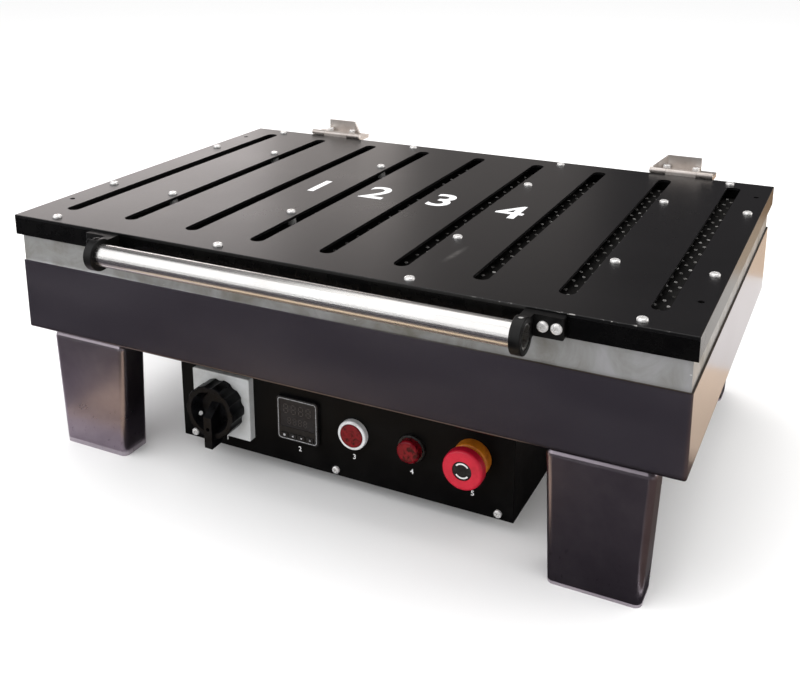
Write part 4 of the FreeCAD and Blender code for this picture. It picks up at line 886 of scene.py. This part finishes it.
def field(columns, rows, first):
    """The holes of one kind of row under one slot."""
    row_pitch = times(size["Hole pitch"], 2.0)
    length = times(sums(eyelet_tree, "SUBTRACT", rows, 1.0), row_pitch)
    width = times(size["Hole pitch"], columns - 1.0)
    inputs = {"Size X": width, "Size Y": length, "Vertices X": columns, "Vertices Y": rows}
    grid = add(eyelet_tree, "GeometryNodeMeshGrid", inputs).outputs[0]
    place = spot(0.0, sums(eyelet_tree, "ADD", first, times(length, 0.5)), size["Level"])
    return add(eyelet_tree, "GeometryNodeTransform", {"Geometry": grid, "Translation": place}).outputs[0]


def spacer_spots(half):
    """The four spacers at one distance from the middle."""
    length = times(size["Spacer reach"], 2.0)
    inputs = {"Size X": times(half, 2.0), "Size Y": length, "Vertices X": 2, "Vertices Y": 2}
    grid = add(eyelet_tree, "GeometryNodeMeshGrid", inputs).outputs[0]
    place = spot(0.0, size["Spacer middle"], size["Level"])
    return add(eyelet_tree, "GeometryNodeTransform", {"Geometry": grid, "Translation": place}).outputs[0]


second_row = sums(eyelet_tree, "ADD", size["First row"], size["Hole pitch"])
rows = [field(columns=2, rows=size["Two-hole row count"], first=size["First row"])]
rows.append(field(columns=3, rows=size["Three-hole row count"], first=second_row))
under_slot = add(eyelet_tree, "GeometryNodeJoinGeometry", {"Geometry": rows}).outputs[0]
reach = times(sums(eyelet_tree, "SUBTRACT", size["Slot count"], 1.0), size["Slot pitch"])
start, step = spot(times(reach, -0.5)), spot(size["Slot pitch"])
inputs = {"Count": size["Slot count"], "Start Location": start, "Offset": step}
slot_line = add(eyelet_tree, "GeometryNodeMeshLine", inputs).outputs[0]
inputs = {"Points": slot_line, "Instance": under_slot}
holes = add(eyelet_tree, "GeometryNodeInstanceOnPoints", inputs).outputs[0]
holes = add(eyelet_tree, "GeometryNodeRealizeInstances", {"Geometry": holes}).outputs[0]
spacers = [spacer_spots(size["Inner spacers"]), spacer_spots(size["Outer spacers"])]
spacers = add(eyelet_tree, "GeometryNodeJoinGeometry", {"Geometry": spacers}).outputs[0]
nearest = add(eyelet_tree, "GeometryNodeProximity", {"Target": spacers}, target_element="POINTS")
taken = sums(eyelet_tree, "LESS_THAN", nearest.outputs["Distance"], size["Spacer room"])
inputs = {"Geometry": holes, "Selection": taken}
holes = add(eyelet_tree, "GeometryNodeDeleteGeometry", inputs, domain="POINT").outputs[0]


def circle(sides, radius):
    """A circle of the eyelet tree, with a few straight sides."""
    inputs = {"Resolution": sides, "Radius": radius}
    return add(eyelet_tree, "GeometryNodeCurvePrimitiveCircle", inputs).outputs[0]


inputs = {
    "Curve": circle(sides=10, radius=size["Ring radius"]),
    "Profile Curve": circle(sides=5, radius=size["Ring thickness"]),
}
eyelet = add(eyelet_tree, "GeometryNodeCurveToMesh", inputs).outputs[0]
eyelets = add(eyelet_tree, "GeometryNodeInstanceOnPoints", {"Points": holes, "Instance": eyelet}).outputs[0]
closed(eyelet_tree, eyelets, eyelet_bright)
mesh = grown("baffle_eyelets", eyelet_tree, eyelet_sizes)
piece("baffle_eyelets", mesh, Matrix(), eyelet_bright, "lid")


# Four plain numbers are screen printed across the middle of the lid.
# The white ink is worn thin in places by wiping.
lid_ink = new_finish("lid_ink", (0.8, 0.8, 0.8), metal=0.0, rough=0.55)
worn = noise(lid_ink, scale=260.0, detail=4, rough=0.7)
coloured(lid_ink, worn, (0.26, (0.22, 0.22, 0.22)), (0.40, (0.82, 0.82, 0.83)))
lid_digit = 0.044
lid_weight = 0.0008
number_places = ((-0.119, 0.0075), (-0.046, 0.0115), (0.031, 0.0165), (0.113, 0.0095))
for number, (x, y) in enumerate(number_places, 1):
    mesh = written("lid_number_%d" % number, str(number), lid_digit, lid_weight)
    place = Matrix.Translation((x, y, lid_high.z))
    piece("lid_number_%d" % number, mesh, place, lid_ink, "lid")


# The handle is a satin aluminium tube held by two black clamp brackets, screwed to the front rail.
# The tube is drawn and brushed along its length, and the brackets are coated castings.
# The right pair of screws is bright, and the left pair is made near black.
tube_satin = new_finish("tube_satin", (0.88, 0.87, 0.85), metal=1.0, rough=0.27)
drawn = noise(tube_satin, scale=1.0, detail=3, rough=0.6, stretch=(4, 1400, 1400))
hands = noise(tube_satin, scale=14.0, detail=4, rough=0.6, stretch=(1, 0.3, 0.3))
coloured(tube_satin, hands, (0.3, (0.80, 0.785, 0.76)), (0.5, (0.86, 0.85, 0.83)), (0.7, (0.89, 0.885, 0.87)))
roughened(tube_satin, drawn, 0.24, 0.30)
relief(tube_satin, drawn, strength=0.03)
dress(tube_satin, "handle_tube")

bracket_black = new_finish("bracket_black", (0.003, 0.003, 0.003), metal=0.0, rough=0.4)
glossed(bracket_black, 0.3)
wear = noise(bracket_black, scale=110.0, detail=4, rough=0.65)
coloured(bracket_black, wear, (0.4, (0.0016, 0.0016, 0.0016)), (0.75, (0.007, 0.0065, 0.006)))
roughened(bracket_black, wear, 0.34, 0.52)
relief(bracket_black, noise(bracket_black, scale=1500.0, detail=2), strength=0.08)
dress(bracket_black, "handle_bracket_left", "handle_bracket_right")

handle_plating = new_finish("handle_plating", (0.88, 0.87, 0.86), metal=0.55, rough=0.26)
scuff = noise(handle_plating, scale=260.0, detail=3, rough=0.55)
plated = tones(handle_plating, scuff, (0.3, (0.78, 0.77, 0.75)), (0.6, (0.92, 0.91, 0.90)))
dark_left_pair = spread(handle_plating, along(handle_plating, "X"), low=1, high=0, start=-0.1, end=0.1)
feed(handle_plating, "Base Color", blended(handle_plating, dark_left_pair, plated, (0.004, 0.004, 0.004)))
roughened(handle_plating, scuff, 0.34, 0.24)
dress(handle_plating, "handle_screws")


# The stage is a plain pale floor under soft studio light from broad lamps on all sides.
# Cards that only reflections see lie on the floor: a dark cloth in front for the case,
# a tan strip for the tube, and grey and tan boards for the legs and the right side.
def laid(name, corners, level, colour):
    """A flat matt sheet of the stage at one level."""
    mesh = bpy.data.meshes.new(name)
    mesh.from_pydata([(x, y, level) for x, y in corners], [], [tuple(range(len(corners)))])
    mesh.materials.append(new_finish(name, colour, metal=0.0, rough=1.0))
    made = bpy.data.objects.new(name, mesh)
    bpy.context.scene.collection.objects.link(made)
    return made


def card(name, corners, level, colour):
    """A sheet of the stage that only reflections see."""
    made = laid(name, corners, level, colour)
    made.visible_camera = False
    made.visible_diffuse = False
    made.visible_shadow = False


floor_reach = 20
floor_corners = [(x * floor_reach, y * floor_reach) for x, y in ((-1, -1), (1, -1), (1, 1), (-1, 1))]
laid("floor", floor_corners, 0.0, (0.93, 0.93, 0.93))
cloth_level = 0.003
strip_level = 0.005
cloth = (
    (-3, -1.6), (1.2, -1.6), (1.2, -0.5), (0.33, -0.5),
    (0.33, 0.3), (-0.23, 0.3), (-0.23, -0.36), (-3, -0.36),
)
card("dark_cloth", cloth, cloth_level, (0.032, 0.028, 0.036))


def strip(name, left, right, front, rear, colour):
    """A straight-edged card that lies just above the cloth."""
    card(name, ((left, front), (right, front), (right, rear), (left, rear)), strip_level, colour)


strip("tan_strip", left=-0.36, right=0.17, front=-0.365, rear=-0.25, colour=(0.74, 0.58, 0.42))
strip("grey_card", left=-0.8, right=-0.232, front=-0.358, rear=-0.26, colour=(0.16, 0.14, 0.16))
strip("pale_card", left=-0.8, right=-0.232, front=-0.26, rear=0.1, colour=(0.52, 0.48, 0.52))
board_left, board_right = 0.332, 2.0
strip("brown_board", left=board_left, right=board_right, front=-0.5, rear=0.06, colour=(0.10, 0.07, 0.06))
strip("tan_board", left=board_left, right=board_right, front=0.03, rear=0.275, colour=(0.78, 0.62, 0.47))
strip("light_board", left=board_left, right=board_right, front=0.275, rear=0.63, colour=(0.74, 0.72, 0.70))
strip("rear_board", left=board_left, right=board_right, front=0.63, rear=0.95, colour=(0.60, 0.46, 0.33))
strip("far_board", left=board_left, right=board_right, front=0.95, rear=2.2, colour=(0.35, 0.22, 0.12))


def lamp(name, place, aim, size, power, colour):
    """A rectangular soft lamp pointed at a place, unseen by the camera."""
    data = bpy.data.lights.new(name, "AREA")
    data.shape = "RECTANGLE"
    data.size, data.size_y = size
    data.energy = power
    data.color = colour
    made = bpy.data.objects.new(name, data)
    made.location = place
    made.rotation_euler = (Vector(aim) - Vector(place)).to_track_quat("-Z", "Y").to_euler()
    made.visible_camera = False
    bpy.context.scene.collection.objects.link(made)


lamp("overhead", (0, 0.3, 2.6), (0, 0, 0.2), size=(2.6, 2.6), power=30, colour=(1, 0.985, 0.97))
lamp("left_wall", (-2.26, 2.05, 0.75), (-0.2, 0, 0.25), size=(1.2, 1.3), power=10.8, colour=(1, 0.93, 0.91))
lamp("left_glow", (-1.60, 2.62, 0.75), (-0.1, 0, 0.25), size=(0.55, 1.3), power=2.4, colour=(1, 0.92, 0.88))
lamp("rear_glow", (-0.95, 2.6, 0.75), (0, 0, 0.25), size=(0.9, 1.3), power=1.0, colour=(1, 0.92, 0.86))
lamp("right_side", (2.3, 0.9, 0.9), (0.3, 0, 0.15), size=(1.4, 1.4), power=12, colour=(1, 0.96, 0.92))
lamp("front", (-1.3, -1.8, 1.65), (0, -0.1, 0.15), size=(3.6, 3.0), power=40, colour=(0.99, 0.99, 1))

world = bpy.data.worlds.new("studio")
world.use_nodes = True
bpy.context.scene.world = world
rays = add(world, "ShaderNodeLightPath").outputs["Is Glossy Ray"]
open_room, mirrored_room = (1.06, 1.06, 1.06, 1), (0.09, 0.086, 0.09, 1)
inputs = {0: rays, 6: open_room, 7: mirrored_room}
room = add(world, "ShaderNodeMix", inputs, data_type="RGBA").outputs[2]
world.node_tree.links.new(room, world.node_tree.nodes["Background"].inputs["Color"])

bpy.context.scene.view_settings.view_transform = "Standard"

eye = bpy.data.cameras.new("camera")
eye.sensor_width = 36
eye.lens = 45.718
eye.shift_y = -0.2106
eye.clip_start = 0.05
camera = bpy.data.objects.new("camera", eye)
stand = Vector((0.4564, -0.9580, 0.5781))
target = Vector((-0.0258, 0.0287, 0.2847))
camera.location = stand
camera.rotation_euler = (target - stand).to_track_quat("-Z", "Y").to_euler()
bpy.context.scene.collection.objects.link(camera)
bpy.context.scene.camera = camera
